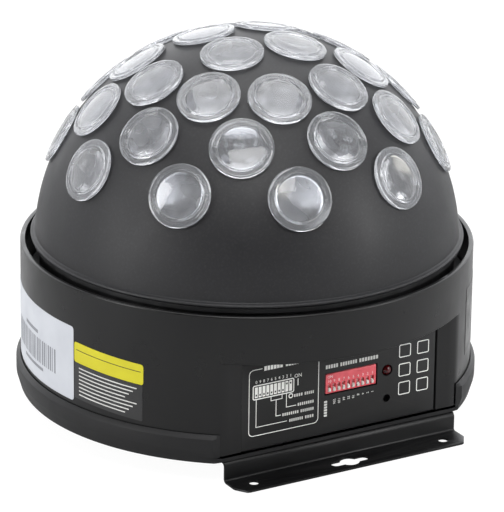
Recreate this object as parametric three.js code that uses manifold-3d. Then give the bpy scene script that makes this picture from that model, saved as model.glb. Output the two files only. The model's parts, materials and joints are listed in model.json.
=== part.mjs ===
// Rotating LED ball light: a half-ball dome with clear lenses that turns in a flat-sided drum base.
// Millimetres, +Z up. The origin is on the floor under the dome's axis. The switch panel faces -Y
// and the connector panel faces +Y. The dome turns about +Z.

import * as THREE from 'three';
import Module from 'manifold-3d';
import { mergeVertices } from 'three/addons/utils/BufferGeometryUtils.js';

const wasm = await Module();
wasm.setup();

// General fits
const fitGap = 0.3;
const seamGap = 1.2;
const cutOverrun = 5;
const mergeTolerance = 0.0001;

// Smoothness of round shapes, in sides
const drumSides = 64;
const domeSides = 48;
const lensSides = 16;
const roundSides = 18;
const smallSides = 12;
const screwSides = 8;
const neckSides = 6;

// Drum shell, the black round casing. Its two flats are as wide as the panels in them need.
const drumRadius = 106.2;
const drumWall = 2.4;
const drumInnerRadius = drumRadius - drumWall;
const rimChamfer = 0.6;
const baseHeight = 71;
const bracketHeight = 10;
const rimHeight = bracketHeight + baseHeight;
const flatWall = 1.5;
const windowShoulder = 10.447;

// Deck plate, which sits above the flats' ledges, and its posts
const deckDrop = 20;
const deckThickness = 1.5;
const deckBottom = rimHeight - deckDrop;
const deckTop = deckBottom + deckThickness;
const deckEdgeGap = 0.5;
const deckRadius = drumInnerRadius - deckEdgeGap;
const ledgeGap = 1.3;
const ledgeHeight = deckBottom - ledgeGap - flatWall;
const postRadius = 4;
const postSpigotRadius = 1.8;
const postSpigotRise = 1.4;
const postInsetX = 39.3;
const postInsetY = 45.3;
const postX = deckRadius - postInsetX;
const postY = deckRadius - postInsetY;

// Base pan, whose raised band grips the foot of the drum
const panFloor = 1.5;
const panProud = 0.5;
const panRadius = drumRadius + panProud;
const panTaperProud = 1.2;
const panTaperRadius = drumRadius + panTaperProud;
const panTaperHeight = 2.2;
const bandProud = 2.4;
const bandRadius = drumRadius + bandProud;
const bandLow = 6.2;
const bandFace = 6;
const bandHigh = bandLow + bandFace;
const bandSlope = 1.9;
const shoulderHeight = bandHigh + bandSlope;
const shoulderLip = 0.2;
const panUpstand = 3.2;
const ventCount = 7;
const ventWidth = 4;
const ventLength = 46;
const ventPitch = 9;
const floorTop = bracketHeight + panFloor;

// Mounting brackets, bent from sheet in a Z
const bracketSheet = 1;
const bracketHalfLength = 61.5;
const bracketShift = 1.2;
const bracketTuck = 25;
const bendInside = 1;
const bendOutside = 2.5;
const bendSteps = 3;
const cornerCutX = 4;
const cornerCutY = 5;
const mountHoleRadius = 2.4;
const mountHoleInset = 10.9;
const mountHoleX = bracketHalfLength - mountHoleInset;
const mountHoleSetback = 7.1;
const keyholeRadius = 4.6;
const keySlotHalfLength = 7.3;
const keySlotRadius = 2.4;
const footMargin = 2.8;
const bracketReach = mountHoleSetback + keyholeRadius + footMargin;
const screwEndInset = 19.5;
const bracketScrewX = bracketHalfLength - screwEndInset;
const bracketScrewInset = 13;
const bracketScrewRadius = 1.8;
const bracketScrewHead = 3.2;
const bracketScrewHeadHeight = 2;
const bracketScrewLength = 7;

// Connectors on the rear panel
const inletWidth = 30;
const inletHeight = 23;
const inletLip = 1.8;
const inletBodyWidth = inletWidth - 2 * inletLip;
const inletBodyHeight = inletHeight - 2 * inletLip;
const inletFlange = 2.4;
const inletWall = 1.9;
const inletBack = 5;
const inletCavityDepth = 15;
const inletDepth = inletCavityDepth + inletBack;
const inletCavityCorner = 4;
const bladeWidth = 2;
const bladeHeight = 4.2;
const bladeLength = 8.5;
const bladeSpread = 6.8;
const bladeOffset = 2.4;
const fuseBodyRadius = 5.4;
const fuseBodyLength = 22;
const fuseCapLip = 1.2;
const fuseCapRadius = fuseBodyRadius + fuseCapLip;
const fuseCapHeight = 5.5;
const fuseSlotWidth = 1.4;
const fuseSlotDepth = 1.3;
const signalWidth = 25.6;
const signalHeight = 30.6;
const signalFlange = 2.6;
const signalLip = 1.2;
const signalWall = 2;
const signalBack = 4;
const signalGroove = 1.6;
const signalBarrelRadius = signalWidth / 2 - signalLip;
const signalCavityRadius = signalBarrelRadius - signalWall;
const signalInsertRadius = signalCavityRadius - signalGroove;
const signalCavityDepth = 14;
const signalBarrelLength = signalCavityDepth + signalBack;
const signalPinRadius = 1.2;
const signalPinCircle = 4.4;
const signalPinLength = 8;
const signalHoleRadius = signalPinRadius + fitGap;
const latchWidth = 7;
const latchHeight = 4;
const latchProud = 2;
const latchTravel = 1.5;
const latchInset = 3.3;
const latchGap = 0.35;

// The connectors stand in a row from -X to +X, and the row sets the width of both panels
const connectorGap = 1.6;
const windowMargin = 2.4;
const connectorWidths = [signalWidth, signalWidth, 2 * fuseCapRadius, inletWidth];
const connectorRow = connectorWidths.reduce((sum, width) => sum + width + connectorGap, -connectorGap);
const [signalOutX, signalInX, fuseX, inletX] = connectorWidths.map((width, i) => (
  connectorWidths.slice(0, i).reduce((sum, before) => sum + before + connectorGap, 0)
  + (width - connectorRow) / 2));

// Panels in the two flats
const windowHalfWidth = connectorRow / 2 + windowMargin;
const windowBottom = bracketHeight + panUpstand + fitGap;
const windowHeight = ledgeHeight - windowBottom;
const flatDistance = Math.sqrt(drumRadius ** 2 - (windowHalfWidth + windowShoulder) ** 2);
const panelFlangeLap = 3.5;
const panelFlange = 1.2;
const panelBack = flatDistance - flatWall - fitGap;

// Address switch, lamp and microphone on the switch panel. The places up the panel are shares of
// its window's height.
const switchHeightShare = 0.5425;
const micHeightShare = 0.2483;
const switchX = 5.65;
const switchHeight = 9.6;
const switchClearance = 0.5;
const switchSink = 0.2;
const leverCount = 10;
const leverPitch = 2.54;
const leverWidth = 1.2;
const leverHeight = 1.9;
const leverTravel = 1.6;
const leverGap = 0.25;
const switchEnds = 1.6;
const switchWidth = leverCount * leverPitch + switchEnds;
const slotDepth = 1.4;
const slotFloor = 0.6;
const leverProud = 0.45;
const lampSpacing = 5.85;
const lampX = switchX + switchWidth / 2 + lampSpacing;
const lampRise = 0.65;
const lampRadius = 2.4;
const lampCollarRadius = 2.8;
const lampCollar = 1;
const lampProud = 1.1;
const lampHoleRadius = 2.8;
const micRadius = 3;
const micHoleRadius = 1.9;
const boardThickness = 1.6;
const boardStandoff = 3;
const boardMarginLeft = 7.15;
const boardMarginRight = 10;
const boardMarginLow = 5.6;
const boardMarginHigh = 6.45;
const boardLeft = switchX - switchWidth / 2 - boardMarginLeft;
const boardRight = lampX + boardMarginRight;
const boardPostRadius = 2.2;
const boardPostInset = 3.2;

// Ring gear that carries the dome, and its rollers and drive
const ringEdgeGap = 6.3;
const ringOuterRadius = drumInnerRadius - ringEdgeGap;
const ringWall = 3.5;
const ringWallRadius = ringOuterRadius - ringWall;
const ringTeeth = 48;
const pinionTeeth = 12;
const gearBacking = 4;
const ringPitchRadius = ringWallRadius - gearBacking;
const pinionPitchRadius = ringPitchRadius * pinionTeeth / ringTeeth;
const driveDistance = ringPitchRadius - pinionPitchRadius;
const addendum = 2.5;
const dedendum = 3.1;
const ringRootRadius = ringPitchRadius + dedendum;
const toothTip = 2.6;
const toothRoot = 5.6;
const railRise = 5.3;
const railThickness = 2;
const railLow = deckTop + railRise;
const railHigh = railLow + railThickness;
const railDepth = 4;
const railRadius = ringWallRadius - railDepth;
const ringFoot = 1.6;
const ringBottom = railLow - ringFoot;
const toothRise = 3.2;
const toothHeight = 5.4;
const toothLow = railHigh + toothRise;
const toothHigh = toothLow + toothHeight;
const ringFlange = 2;
const rollerGrooveRadius = 6;
const rollerLip = 2.6;
const rollerFlangeRadius = rollerGrooveRadius + rollerLip;
const rollerFlange = 1.5;
const rollerCount = 3;
const rollerFirstAngle = Math.PI / 3;
const axleRadius = 2;
const rollerBore = axleRadius + fitGap;
const axleHeadRadius = 3.8;
const axleHead = 1.6;
const axleCap = 0.8;
const shaftRadius = 2.5;
const shaftClearance = 1;
const shaftHole = shaftRadius + shaftClearance;
const pinionHubRadius = 6;
const gearboxRadius = 12.4;
const gearboxLength = 19;
const motorRadius = 12;
const motorTailRadius = 5;
const motorTail = 2;
const motorFloorGap = 4.2;

// Dome
const lipEdgeGap = 2.4;
const lipRadius = drumInnerRadius - lipEdgeGap;
const lipProud = 1.9;
const domeRadius = lipRadius - lipProud;
const domeWall = 2.2;
const domeCentreDrop = 1.9;
const domeCentre = rimHeight - domeCentreDrop;
const domeSteps = 8;
const domeInnerSteps = 5;
const lipRise = 2;
const lipThickness = 1.8;
const domeFlangeWidth = 7;
const domeFlangeInner = domeRadius - domeFlangeWidth;
const ringFlangeInset = 1;
const ringFlangeRadius = lipRadius - ringFlangeInset;
const domePinCircle = (ringRootRadius + ringOuterRadius) / 2;
const domePinCount = 4;
const domePinRadius = 1.6;
const domePinLength = 3.4;

// Lenses, in four rings seen from the rest pose: angles are in degrees from the -Y side towards +X.
// The room between neighbours sets their radius.
const lensRings = [
  { name: 'lens_ring_a', count: 10, latitude: 29.9, azimuth: -50.7 },
  { name: 'lens_ring_b', count: 10, latitude: 43.9, azimuth: -32.6 },
  { name: 'lens_ring_c', count: 10, latitude: 58.8, azimuth: -50.6 },
  { name: 'lens_ring_d', count: 4, latitude: 77, azimuth: -50.6 },
];
const lensSpacing = 1.0367;
const lensRim = 4;
const lensSeatRim = 0.2;
const lensEdge = 1.6;
const lensShoulder = 0.8;
const lensCrown = 0.6;
const lensNeckRadius = 4;
const lensBandGap = 1.6;
const lensBand = 1.5;
const lensBandHalfAngle = 2;
const lensRadius = closestLensHalfway() - lensSpacing;
const lensWindowRadius = lensRadius - lensRim;
const lensHoleRadius = lensWindowRadius + lensSeatRim;

// Lamp unit at the middle of the dome, inside the pinion's reach
const sinkClearance = 5.5;
const sinkRadius = driveDistance - pinionPitchRadius - addendum - sinkClearance;
const sinkCoreRadius = 11;
const sinkFinCount = 18;
const sinkFin = 1.8;
const sinkHeight = 21;
const ledBoardInset = 1;
const ledBoardRadius = sinkRadius - ledBoardInset;
const ledBoardThickness = 1.6;
const emitterCount = 6;
const emitterSize = 7;
const emitterHeight = 1.4;
const opticFootRadius = 4.5;
const opticTopRadius = 10.6;
const opticHeight = 12;
const opticRim = 1.2;
const opticPlateInset = 1;
const opticPlateRadius = ledBoardRadius - opticPlateInset;
const opticEdge = 1.4;
const emitterCircle = opticPlateRadius - opticTopRadius - opticEdge;

// Cooling fan under the deck's opening
const fanSize = 60;
const fanDepth = 15;
const fanRim = 1.6;
const fanBoreRadius = fanSize / 2 - fanRim;
const deckOpeningLip = 0.4;
const deckOpeningRadius = fanBoreRadius - deckOpeningLip;
const fanHubRadius = 16;
const fanPlate = 1.6;
const fanArmWidth = 3.4;
const fanTipGap = 1.2;
const fanRotorRadius = fanBoreRadius - fanTipGap;
const fanHubHeight = 10;
const fanBladeCount = 7;
const fanBladeChord = 15;
const fanBlade = 1.2;
const fanBladePitch = Math.PI / 5.5;
const fanBladeEmbed = 1.5;
const fanPinRadius = 2;
const fanPin = 1.4;

// Power board on the pan floor, between the deck posts, the motor and the connectors
const powerMotorGap = 7.5;
const powerRight = driveDistance - motorRadius - powerMotorGap;
const powerLeftReach = 14;
const powerLeft = -powerRight - powerLeftReach;
const powerPostGap = 8;
const powerFront = -(postY - postRadius - powerPostGap);
const powerBack = 12;
const powerStandoff = 6;
const powerPostRadius = 3;
const powerPostInset = 4;
const powerPartsY = (powerFront + powerBack) / 2;
const transformerWidth = 30;
const transformerDepth = 26;
const transformerHeight = 17;
const transformerInset = 1;
const transformerX = powerLeft + transformerWidth / 2 + transformerInset;
const capacitorRadius = 5;
const capacitorHeight = 16;
const capacitorInset = 5;
const capacitorX = powerRight - capacitorRadius - capacitorInset;
const capacitorSpacing = 14;

const materials = {
  drumCoat: { color: 0x1b1b1c, roughness: 0.45, metalness: 0.3 },
  bracketCoat: { color: 0x161617, roughness: 0.4, metalness: 0.3 },
  panelCoat: { color: 0x1c1c1e, roughness: 0.5, metalness: 0.3 },
  domePlastic: { color: 0x2b2b2d, roughness: 0.6, metalness: 0 },
  clearLens: { color: 0xdfe6ea, roughness: 0.05, metalness: 0 },
  switchRed: { color: 0xb3161c, roughness: 0.35, metalness: 0 },
  leverWhite: { color: 0xece9e0, roughness: 0.5, metalness: 0 },
  lampRed: { color: 0xd01818, roughness: 0.2, metalness: 0 },
  blackPlastic: { color: 0x151515, roughness: 0.55, metalness: 0 },
  zincSteel: { color: 0x9fa2a6, roughness: 0.35, metalness: 1 },
  aluminium: { color: 0xc3c6c9, roughness: 0.4, metalness: 1 },
  whiteNylon: { color: 0xe4e1d6, roughness: 0.55, metalness: 0 },
  boardGreen: { color: 0x1f5a35, roughness: 0.5, metalness: 0 },
  brass: { color: 0xb98b3a, roughness: 0.3, metalness: 1 },
  emitterYellow: { color: 0xe8d36a, roughness: 0.4, metalness: 0 },
};

// A closed geometry becomes a solid that can be joined and cut
function toSolid(geometry) {
  const bare = geometry.clone();
  for (const name of Object.keys(bare.attributes)) {
    if (name !== 'position') bare.deleteAttribute(name);
  }
  const merged = mergeVertices(bare, mergeTolerance);
  const points = merged.attributes.position;
  const index = merged.index.array;
  const triangles = [];
  const a = new THREE.Vector3();
  const b = new THREE.Vector3();
  const c = new THREE.Vector3();
  let volume = 0;
  for (let i = 0; i < index.length; i += 3) {
    const [p, q, r] = [index[i], index[i + 1], index[i + 2]];
    if (p === q || q === r || r === p) continue;
    a.fromBufferAttribute(points, p);
    b.fromBufferAttribute(points, q);
    c.fromBufferAttribute(points, r);
    volume += a.dot(b.cross(c));
    triangles.push(p, q, r);
  }
  if (volume < 0) triangles.reverse();
  return new wasm.Manifold(new wasm.Mesh({
    numProp: 3,
    vertProperties: new Float32Array(points.array),
    triVerts: new Uint32Array(triangles),
  }));
}

function toGeometry(solid) {
  const mesh = solid.getMesh();
  const geometry = new THREE.BufferGeometry();
  geometry.setAttribute('position', new THREE.BufferAttribute(mesh.vertProperties, 3));
  geometry.setIndex(new THREE.BufferAttribute(mesh.triVerts, 1));
  geometry.computeVertexNormals();
  return geometry;
}

function joinAll(solids) {
  return solids.reduce((whole, solid) => whole.add(solid));
}

function cutAll(solid, cutters) {
  return cutters.reduce((rest, cutter) => rest.subtract(cutter), solid);
}

// A box between two corners, given as pairs of limits
function slab([x0, x1], [y0, y1], [z0, z1]) {
  const geometry = new THREE.BoxGeometry(Math.abs(x1 - x0), Math.abs(y1 - y0), Math.abs(z1 - z0));
  geometry.translate((x0 + x1) / 2, (y0 + y1) / 2, (z0 + z1) / 2);
  return toSolid(geometry);
}

// A round bar along Z between two heights
function rod(radius, [z0, z1], sides, x = 0, y = 0) {
  const geometry = new THREE.CylinderGeometry(radius, radius, Math.abs(z1 - z0), sides);
  geometry.rotateX(Math.PI / 2);
  geometry.translate(x, y, (z0 + z1) / 2);
  return toSolid(geometry);
}

// A round bar along Y between two distances
function crossRod(radius, [y0, y1], sides, x = 0, z = 0) {
  const geometry = new THREE.CylinderGeometry(radius, radius, Math.abs(y1 - y0), sides);
  geometry.translate(x, (y0 + y1) / 2, z);
  return toSolid(geometry);
}

// A turned shape about Z from [radius, height] points
function turned(profile, sides) {
  const points = profile.map(([radius, height]) => new THREE.Vector2(radius, height));
  const geometry = new THREE.LatheGeometry(points, sides);
  geometry.rotateX(Math.PI / 2);
  return toSolid(geometry);
}

// The same, about an axis along +Y, for pieces that stand out of the rear panel
function turnedAlongY(profile, sides, x, z) {
  const points = profile.map(([radius, distance]) => new THREE.Vector2(radius, distance));
  const geometry = new THREE.LatheGeometry(points, sides);
  geometry.translate(x, 0, z);
  return toSolid(geometry);
}

// An outline of [x, y] points drawn up from one height to another
function prism(outline, [z0, z1]) {
  const shape = new THREE.Shape(outline.map(([x, y]) => new THREE.Vector2(x, y)));
  const geometry = new THREE.ExtrudeGeometry(shape, { depth: z1 - z0, bevelEnabled: false });
  geometry.translate(0, 0, z0);
  return toSolid(geometry);
}

function arcPoints(centreX, centreY, radius, from, to, steps) {
  const points = [];
  for (let i = 0; i <= steps; i += 1) {
    const angle = from + (to - from) * i / steps;
    points.push([centreX + radius * Math.cos(angle), centreY + radius * Math.sin(angle)]);
  }
  return points;
}

const ball = new THREE.Group();

function add(parent, name, solid, material) {
  const look = new THREE.MeshStandardMaterial(materials[material]);
  const mesh = new THREE.Mesh(toGeometry(solid), look);
  mesh.name = name;
  parent.add(mesh);
  return mesh;
}

// The D-shaped body of a given radius, with the flats cut away up to the ledge
function flatSided(radius, flat, bottom, top, ledge) {
  const reach = 2 * radius;
  const body = rod(radius, [bottom, top], drumSides);
  const sides = [-1, 1].map((side) => slab(
    [-reach, reach], [side * flat, side * reach], [bottom - cutOverrun, ledge]));
  return cutAll(body, sides);
}

function makeDrumShell() {
  const bottom = floorTop + fitGap;
  const outside = turned([
    [0, bottom], [drumRadius, bottom], [drumRadius, rimHeight - rimChamfer],
    [drumRadius - rimChamfer, rimHeight], [0, rimHeight],
  ], drumSides);
  const outer = outside.intersect(
    flatSided(drumRadius + cutOverrun, flatDistance, bottom, rimHeight, ledgeHeight));
  const inner = flatSided(drumInnerRadius, flatDistance - flatWall, bottom - cutOverrun,
    rimHeight + cutOverrun, ledgeHeight + flatWall);
  const cutters = [inner];
  for (const side of [-1, 1]) {
    const across = [side * (panelBack - cutOverrun), side * (flatDistance + cutOverrun)];
    cutters.push(slab([-windowHalfWidth, windowHalfWidth], across, [windowBottom, ledgeHeight]));
    cutters.push(slab([-drumRadius, drumRadius], [side * panelBack, side * (drumRadius + cutOverrun)],
      [bottom - cutOverrun, windowBottom]));
  }
  return cutAll(outer, cutters);
}

function makeBasePan() {
  const low = bracketHeight;
  const seat = drumRadius + fitGap;
  const outside = turned([
    [0, low], [panRadius, low], [panTaperRadius, low + panTaperHeight], [bandRadius, low + bandLow],
    [bandRadius, low + bandHigh], [seat + shoulderLip, low + shoulderHeight],
    [0, low + shoulderHeight],
  ], drumSides);
  const reach = bandRadius + cutOverrun;
  const flats = [-1, 1].map((side) => slab(
    [-reach, reach], [side * flatDistance, side * reach],
    [low - cutOverrun, low + shoulderHeight + cutOverrun]));
  const hollow = flatSided(seat, flatDistance - flatWall, low + panFloor,
    low + shoulderHeight + cutOverrun, low + panUpstand);
  const cutters = [...flats, hollow];
  for (let i = 0; i < ventCount; i += 1) {
    const x = (i - (ventCount - 1) / 2) * ventPitch;
    cutters.push(slab([x - ventWidth / 2, x + ventWidth / 2], [-ventLength / 2, ventLength / 2],
      [low - cutOverrun, floorTop + cutOverrun]));
  }
  for (const [x, y] of bracketScrewPlaces()) {
    cutters.push(rod(bracketScrewRadius + fitGap, [low - cutOverrun, floorTop + cutOverrun],
      screwSides, x, y));
  }
  const bosses = powerPostPlaces().map(([x, y]) => (
    rod(powerPostRadius, [low + panFloor / 2, powerBottom], screwSides, x, y)));
  return joinAll([cutAll(outside, cutters), ...bosses]);
}

function bracketScrewPlaces() {
  const y = flatDistance - bracketScrewInset;
  return [-1, 1].flatMap((side) => [-1, 1].map((end) => [end * bracketScrewX, side * y]));
}

// The bracket under the -Y edge: its top tucks under the pan and its foot points outwards
function makeBracket() {
  const face = -flatDistance;
  const edge = face - bracketReach;
  const [quarter, half] = [Math.PI / 2, Math.PI];
  const top = bracketHeight;
  const upperY = face + bendOutside;
  const upperZ = top - bendOutside;
  const lowerY = face - bendInside;
  const lowerZ = bracketSheet + bendInside;
  const outline = [
    [face + bracketTuck, top],
    ...arcPoints(upperY, upperZ, bendOutside, quarter, half, bendSteps),
    ...arcPoints(lowerY, lowerZ, bendInside, 0, -quarter, bendSteps),
    [edge, bracketSheet], [edge, 0],
    ...arcPoints(lowerY, lowerZ, bendInside + bracketSheet, -quarter, 0, bendSteps),
    ...arcPoints(upperY, upperZ, bendOutside - bracketSheet, half, quarter, bendSteps),
    [face + bracketTuck, top - bracketSheet],
  ];
  const shape = new THREE.Shape(outline.map(([y, z]) => new THREE.Vector2(y, z)));
  const geometry = new THREE.ExtrudeGeometry(shape, {
    depth: 2 * bracketHalfLength, bevelEnabled: false,
  });
  const turn = new THREE.Matrix4().makeBasis(
    new THREE.Vector3(0, 1, 0), new THREE.Vector3(0, 0, 1), new THREE.Vector3(1, 0, 0));
  geometry.applyMatrix4(turn);
  geometry.translate(bracketShift - bracketHalfLength, 0, 0);
  const through = [-cutOverrun, bracketSheet + cutOverrun];
  const holeY = edge + mountHoleSetback;
  const cutters = [rod(keyholeRadius, through, roundSides, bracketShift, holeY)];
  cutters.push(slab([bracketShift - keySlotHalfLength, bracketShift + keySlotHalfLength],
    [holeY - keySlotRadius, holeY + keySlotRadius], through));
  for (const end of [-1, 1]) {
    const corner = bracketShift + end * bracketHalfLength;
    const past = corner + end * cutOverrun;
    const slotEnd = bracketShift + end * keySlotHalfLength;
    cutters.push(rod(keySlotRadius, through, smallSides, slotEnd, holeY));
    cutters.push(rod(mountHoleRadius, through, smallSides, bracketShift + end * mountHoleX, holeY));
    const cut = [
      [past, edge + cornerCutY], [corner, edge + cornerCutY], [corner - end * cornerCutX, edge],
      [corner - end * cornerCutX, edge - cutOverrun], [past, edge - cutOverrun],
    ];
    cutters.push(prism(end > 0 ? cut.reverse() : cut, through));
    cutters.push(rod(bracketScrewRadius + fitGap, [top - bracketSheet - cutOverrun, top + cutOverrun],
      screwSides, end * bracketScrewX, face + bracketScrewInset));
  }
  return cutAll(toSolid(geometry), cutters);
}

// A pan-head screw under z = 0 with its shank pointing up
function makeScrew() {
  return turned([
    [0, -bracketScrewHeadHeight], [bracketScrewHead, -bracketScrewHeadHeight], [bracketScrewHead, 0],
    [bracketScrewRadius, 0], [bracketScrewRadius, bracketScrewLength], [0, bracketScrewLength],
  ], screwSides);
}

// A panel that fills a window from inside: a flush pad with a flange lapping behind the drum wall
function makePanelBlank(side) {
  const pad = slab([-windowHalfWidth + fitGap, windowHalfWidth - seamGap],
    [side * (panelBack - panelFlange), side * flatDistance],
    [windowBottom + fitGap, ledgeHeight - fitGap]);
  const lap = windowHalfWidth + panelFlangeLap;
  const flange = slab([-lap, lap], [side * (panelBack - panelFlange), side * panelBack],
    [windowBottom + fitGap, ledgeHeight - fitGap]);
  return pad.add(flange);
}

function panelCut(side) {
  return [side * (panelBack - panelFlange - cutOverrun), side * (flatDistance + cutOverrun)];
}

const switchZ = windowBottom + windowHeight * switchHeightShare;
const lampZ = switchZ + lampRise;
const micZ = windowBottom + windowHeight * micHeightShare;
const boardBottom = micZ - boardMarginLow;
const boardTop = switchZ + switchHeight / 2 + boardMarginHigh;
const panelInside = panelBack - panelFlange;
const boardFace = panelInside - boardStandoff;

// The switch panel, with the four studs that its circuit board stands on
function makeControlPanel() {
  const half = switchWidth / 2 + switchClearance;
  const tall = switchHeight / 2 + switchClearance;
  const studs = boardPostPlaces().map(([x, z]) => (
    crossRod(boardPostRadius, [-panelInside - panelFlange / 2, -boardFace], screwSides, x, z)));
  return cutAll(joinAll([makePanelBlank(-1), ...studs]), [
    slab([switchX - half, switchX + half], panelCut(-1), [switchZ - tall, switchZ + tall]),
    crossRod(lampHoleRadius, panelCut(-1), roundSides, lampX, lampZ),
    crossRod(micHoleRadius, panelCut(-1), smallSides, lampX, micZ),
  ]);
}

const leverSlotHeight = leverHeight + leverTravel + 2 * leverGap;
const leverSlotLow = switchZ - switchHeight / 2 + slotFloor;
const leverRestZ = leverSlotLow + leverGap + leverHeight / 2;

function makeSwitchBody() {
  const front = flatDistance - switchSink;
  const body = slab([switchX - switchWidth / 2, switchX + switchWidth / 2], [-front, -boardFace],
    [switchZ - switchHeight / 2, switchZ + switchHeight / 2]);
  const slots = [];
  for (let i = 0; i < leverCount; i += 1) {
    const x = switchX + (i - (leverCount - 1) / 2) * leverPitch;
    const half = leverWidth / 2 + leverGap;
    slots.push(slab([x - half, x + half], [-front - cutOverrun, -front + slotDepth],
      [leverSlotLow, leverSlotLow + leverSlotHeight]));
  }
  return cutAll(body, slots);
}

// One switch lever about its own centre
function makeLever() {
  const depth = slotDepth - leverGap + leverProud;
  return slab([-leverWidth / 2, leverWidth / 2], [-depth / 2, depth / 2],
    [-leverHeight / 2, leverHeight / 2]);
}

function boardPostPlaces() {
  return [boardLeft + boardPostInset, boardRight - boardPostInset].flatMap((x) => (
    [boardBottom + boardPostInset, boardTop - boardPostInset].map((z) => [x, z])));
}

function makeControlBoard() {
  return slab([boardLeft, boardRight], [-boardFace, -boardFace + boardThickness],
    [boardBottom, boardTop]);
}

function makeStatusLamp() {
  const tip = flatDistance + lampProud;
  const profile = [
    [0, -boardFace], [lampCollarRadius - fitGap, -boardFace],
    [lampCollarRadius - fitGap, -boardFace - lampCollar], [lampRadius, -boardFace - lampCollar],
    ...arcPoints(0, -tip + lampRadius, lampRadius, 0, -Math.PI / 2, bendSteps),
  ];
  profile[profile.length - 1][0] = 0;
  return turnedAlongY(profile, smallSides, lampX, lampZ);
}

function makeMicrophone() {
  return crossRod(micRadius, [-panelInside, -boardFace], smallSides, lampX, micZ);
}

const connectorZ = windowBottom + windowHeight / 2;

function makeRearPanel() {
  const cut = panelCut(1);
  const halfWidth = inletBodyWidth / 2 + fitGap;
  const halfHeight = inletBodyHeight / 2 + fitGap;
  return cutAll(makePanelBlank(1), [
    slab([inletX - halfWidth, inletX + halfWidth], cut,
      [connectorZ - halfHeight, connectorZ + halfHeight]),
    crossRod(fuseBodyRadius + fitGap, cut, smallSides, fuseX, connectorZ),
    crossRod(signalBarrelRadius + fitGap, cut, roundSides, signalInX, connectorZ),
    crossRod(signalBarrelRadius + fitGap, cut, roundSides, signalOutX, connectorZ),
  ]);
}

function makeMainsInlet() {
  const face = flatDistance + inletFlange;
  const flange = slab([inletX - inletWidth / 2, inletX + inletWidth / 2], [flatDistance, face],
    [connectorZ - inletHeight / 2, connectorZ + inletHeight / 2]);
  const body = slab([inletX - inletBodyWidth / 2, inletX + inletBodyWidth / 2],
    [face - inletDepth, face],
    [connectorZ - inletBodyHeight / 2, connectorZ + inletBodyHeight / 2]);
  const [w, h] = [inletBodyWidth / 2 - inletWall, inletBodyHeight / 2 - inletWall];
  const c = inletCavityCorner;
  const outline = [[-w, -h], [w, -h], [w, h - c], [w - c, h], [-w + c, h], [-w, h - c]];
  const shape = new THREE.Shape(outline.map(([x, z]) => new THREE.Vector2(x, z)));
  const geometry = new THREE.ExtrudeGeometry(shape, {
    depth: inletCavityDepth + cutOverrun, bevelEnabled: false,
  });
  geometry.rotateX(Math.PI / 2);
  geometry.translate(inletX, face + cutOverrun, connectorZ);
  const cavity = toSolid(geometry);
  const floor = face - inletCavityDepth;
  const places = [[-bladeSpread, -bladeOffset], [bladeSpread, -bladeOffset], [0, bladeOffset]];
  const blades = places.map(([x, z]) => slab(
    [inletX + x - bladeWidth / 2, inletX + x + bladeWidth / 2],
    [floor - inletFlange / 2, floor + bladeLength],
    [connectorZ + z - bladeHeight / 2, connectorZ + z + bladeHeight / 2]));
  return joinAll([flange.add(body).subtract(cavity), ...blades]);
}

function makeFuseHolder() {
  return crossRod(fuseBodyRadius, [flatDistance - fuseBodyLength, flatDistance],
    smallSides, fuseX, connectorZ);
}

function makeFuseCap() {
  const top = flatDistance + fuseCapHeight;
  const cap = crossRod(fuseCapRadius, [flatDistance, top], roundSides, fuseX, connectorZ);
  return cap.subtract(slab([fuseX - fuseCapRadius, fuseX + fuseCapRadius],
    [top - fuseSlotDepth, top + cutOverrun],
    [connectorZ - fuseSlotWidth / 2, connectorZ + fuseSlotWidth / 2]));
}

function signalShell(x) {
  const face = flatDistance + signalFlange;
  const flange = slab([x - signalWidth / 2, x + signalWidth / 2], [flatDistance, face],
    [connectorZ - signalHeight / 2, connectorZ + signalHeight / 2]);
  const barrel = crossRod(signalBarrelRadius, [face - signalBarrelLength, face], roundSides, x,
    connectorZ);
  return flange.add(barrel);
}

function contactPlaces(circle) {
  return [0, 1, 2].map((i) => {
    const angle = -Math.PI / 2 + (i - 1) * Math.PI / 2;
    return [circle * Math.cos(angle), circle * Math.sin(angle)];
  });
}

function makeSignalInput() {
  const face = flatDistance + signalFlange;
  const floor = face - signalCavityDepth;
  const shell = signalShell(signalInX).subtract(crossRod(signalCavityRadius,
    [floor, face + cutOverrun], roundSides, signalInX, connectorZ));
  const pins = contactPlaces(signalPinCircle).map(([x, z]) => crossRod(
    signalPinRadius, [floor - signalFlange / 2, floor + signalPinLength], screwSides,
    signalInX + x, connectorZ + z));
  return joinAll([shell, ...pins]);
}

const latchZ = connectorZ + signalHeight / 2 - latchInset;
const latchRestY = flatDistance + latchGap + latchTravel;

function makeSignalOutput() {
  const face = flatDistance + signalFlange;
  const groove = turnedAlongY([
    [signalInsertRadius, face - signalCavityDepth], [signalCavityRadius, face - signalCavityDepth],
    [signalCavityRadius, face + cutOverrun], [signalInsertRadius, face + cutOverrun],
    [signalInsertRadius, face - signalCavityDepth],
  ], roundSides, signalOutX, connectorZ);
  const holes = contactPlaces(signalPinCircle).map(([x, z]) => crossRod(
    signalHoleRadius, [face - signalPinLength, face + cutOverrun], screwSides,
    signalOutX + x, connectorZ + z));
  const half = latchWidth / 2 + latchGap;
  const tall = latchHeight / 2 + latchGap;
  const pocket = slab([signalOutX - half, signalOutX + half],
    [flatDistance, face + cutOverrun], [latchZ - tall, latchZ + tall]);
  return cutAll(signalShell(signalOutX), [groove, pocket, ...holes]);
}

// The release tab of the signal socket, about its own centre
function makeLatch() {
  const depth = flatDistance + signalFlange + latchProud - latchRestY;
  return slab([-latchWidth / 2, latchWidth / 2], [0, depth], [-latchHeight / 2, latchHeight / 2]);
}

function deckPostPlaces() {
  return [-1, 1].flatMap((sx) => [-1, 1].map((sy) => [sx * postX, sy * postY]));
}

const rollerDistance = railRadius - rollerGrooveRadius - fitGap;

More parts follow.
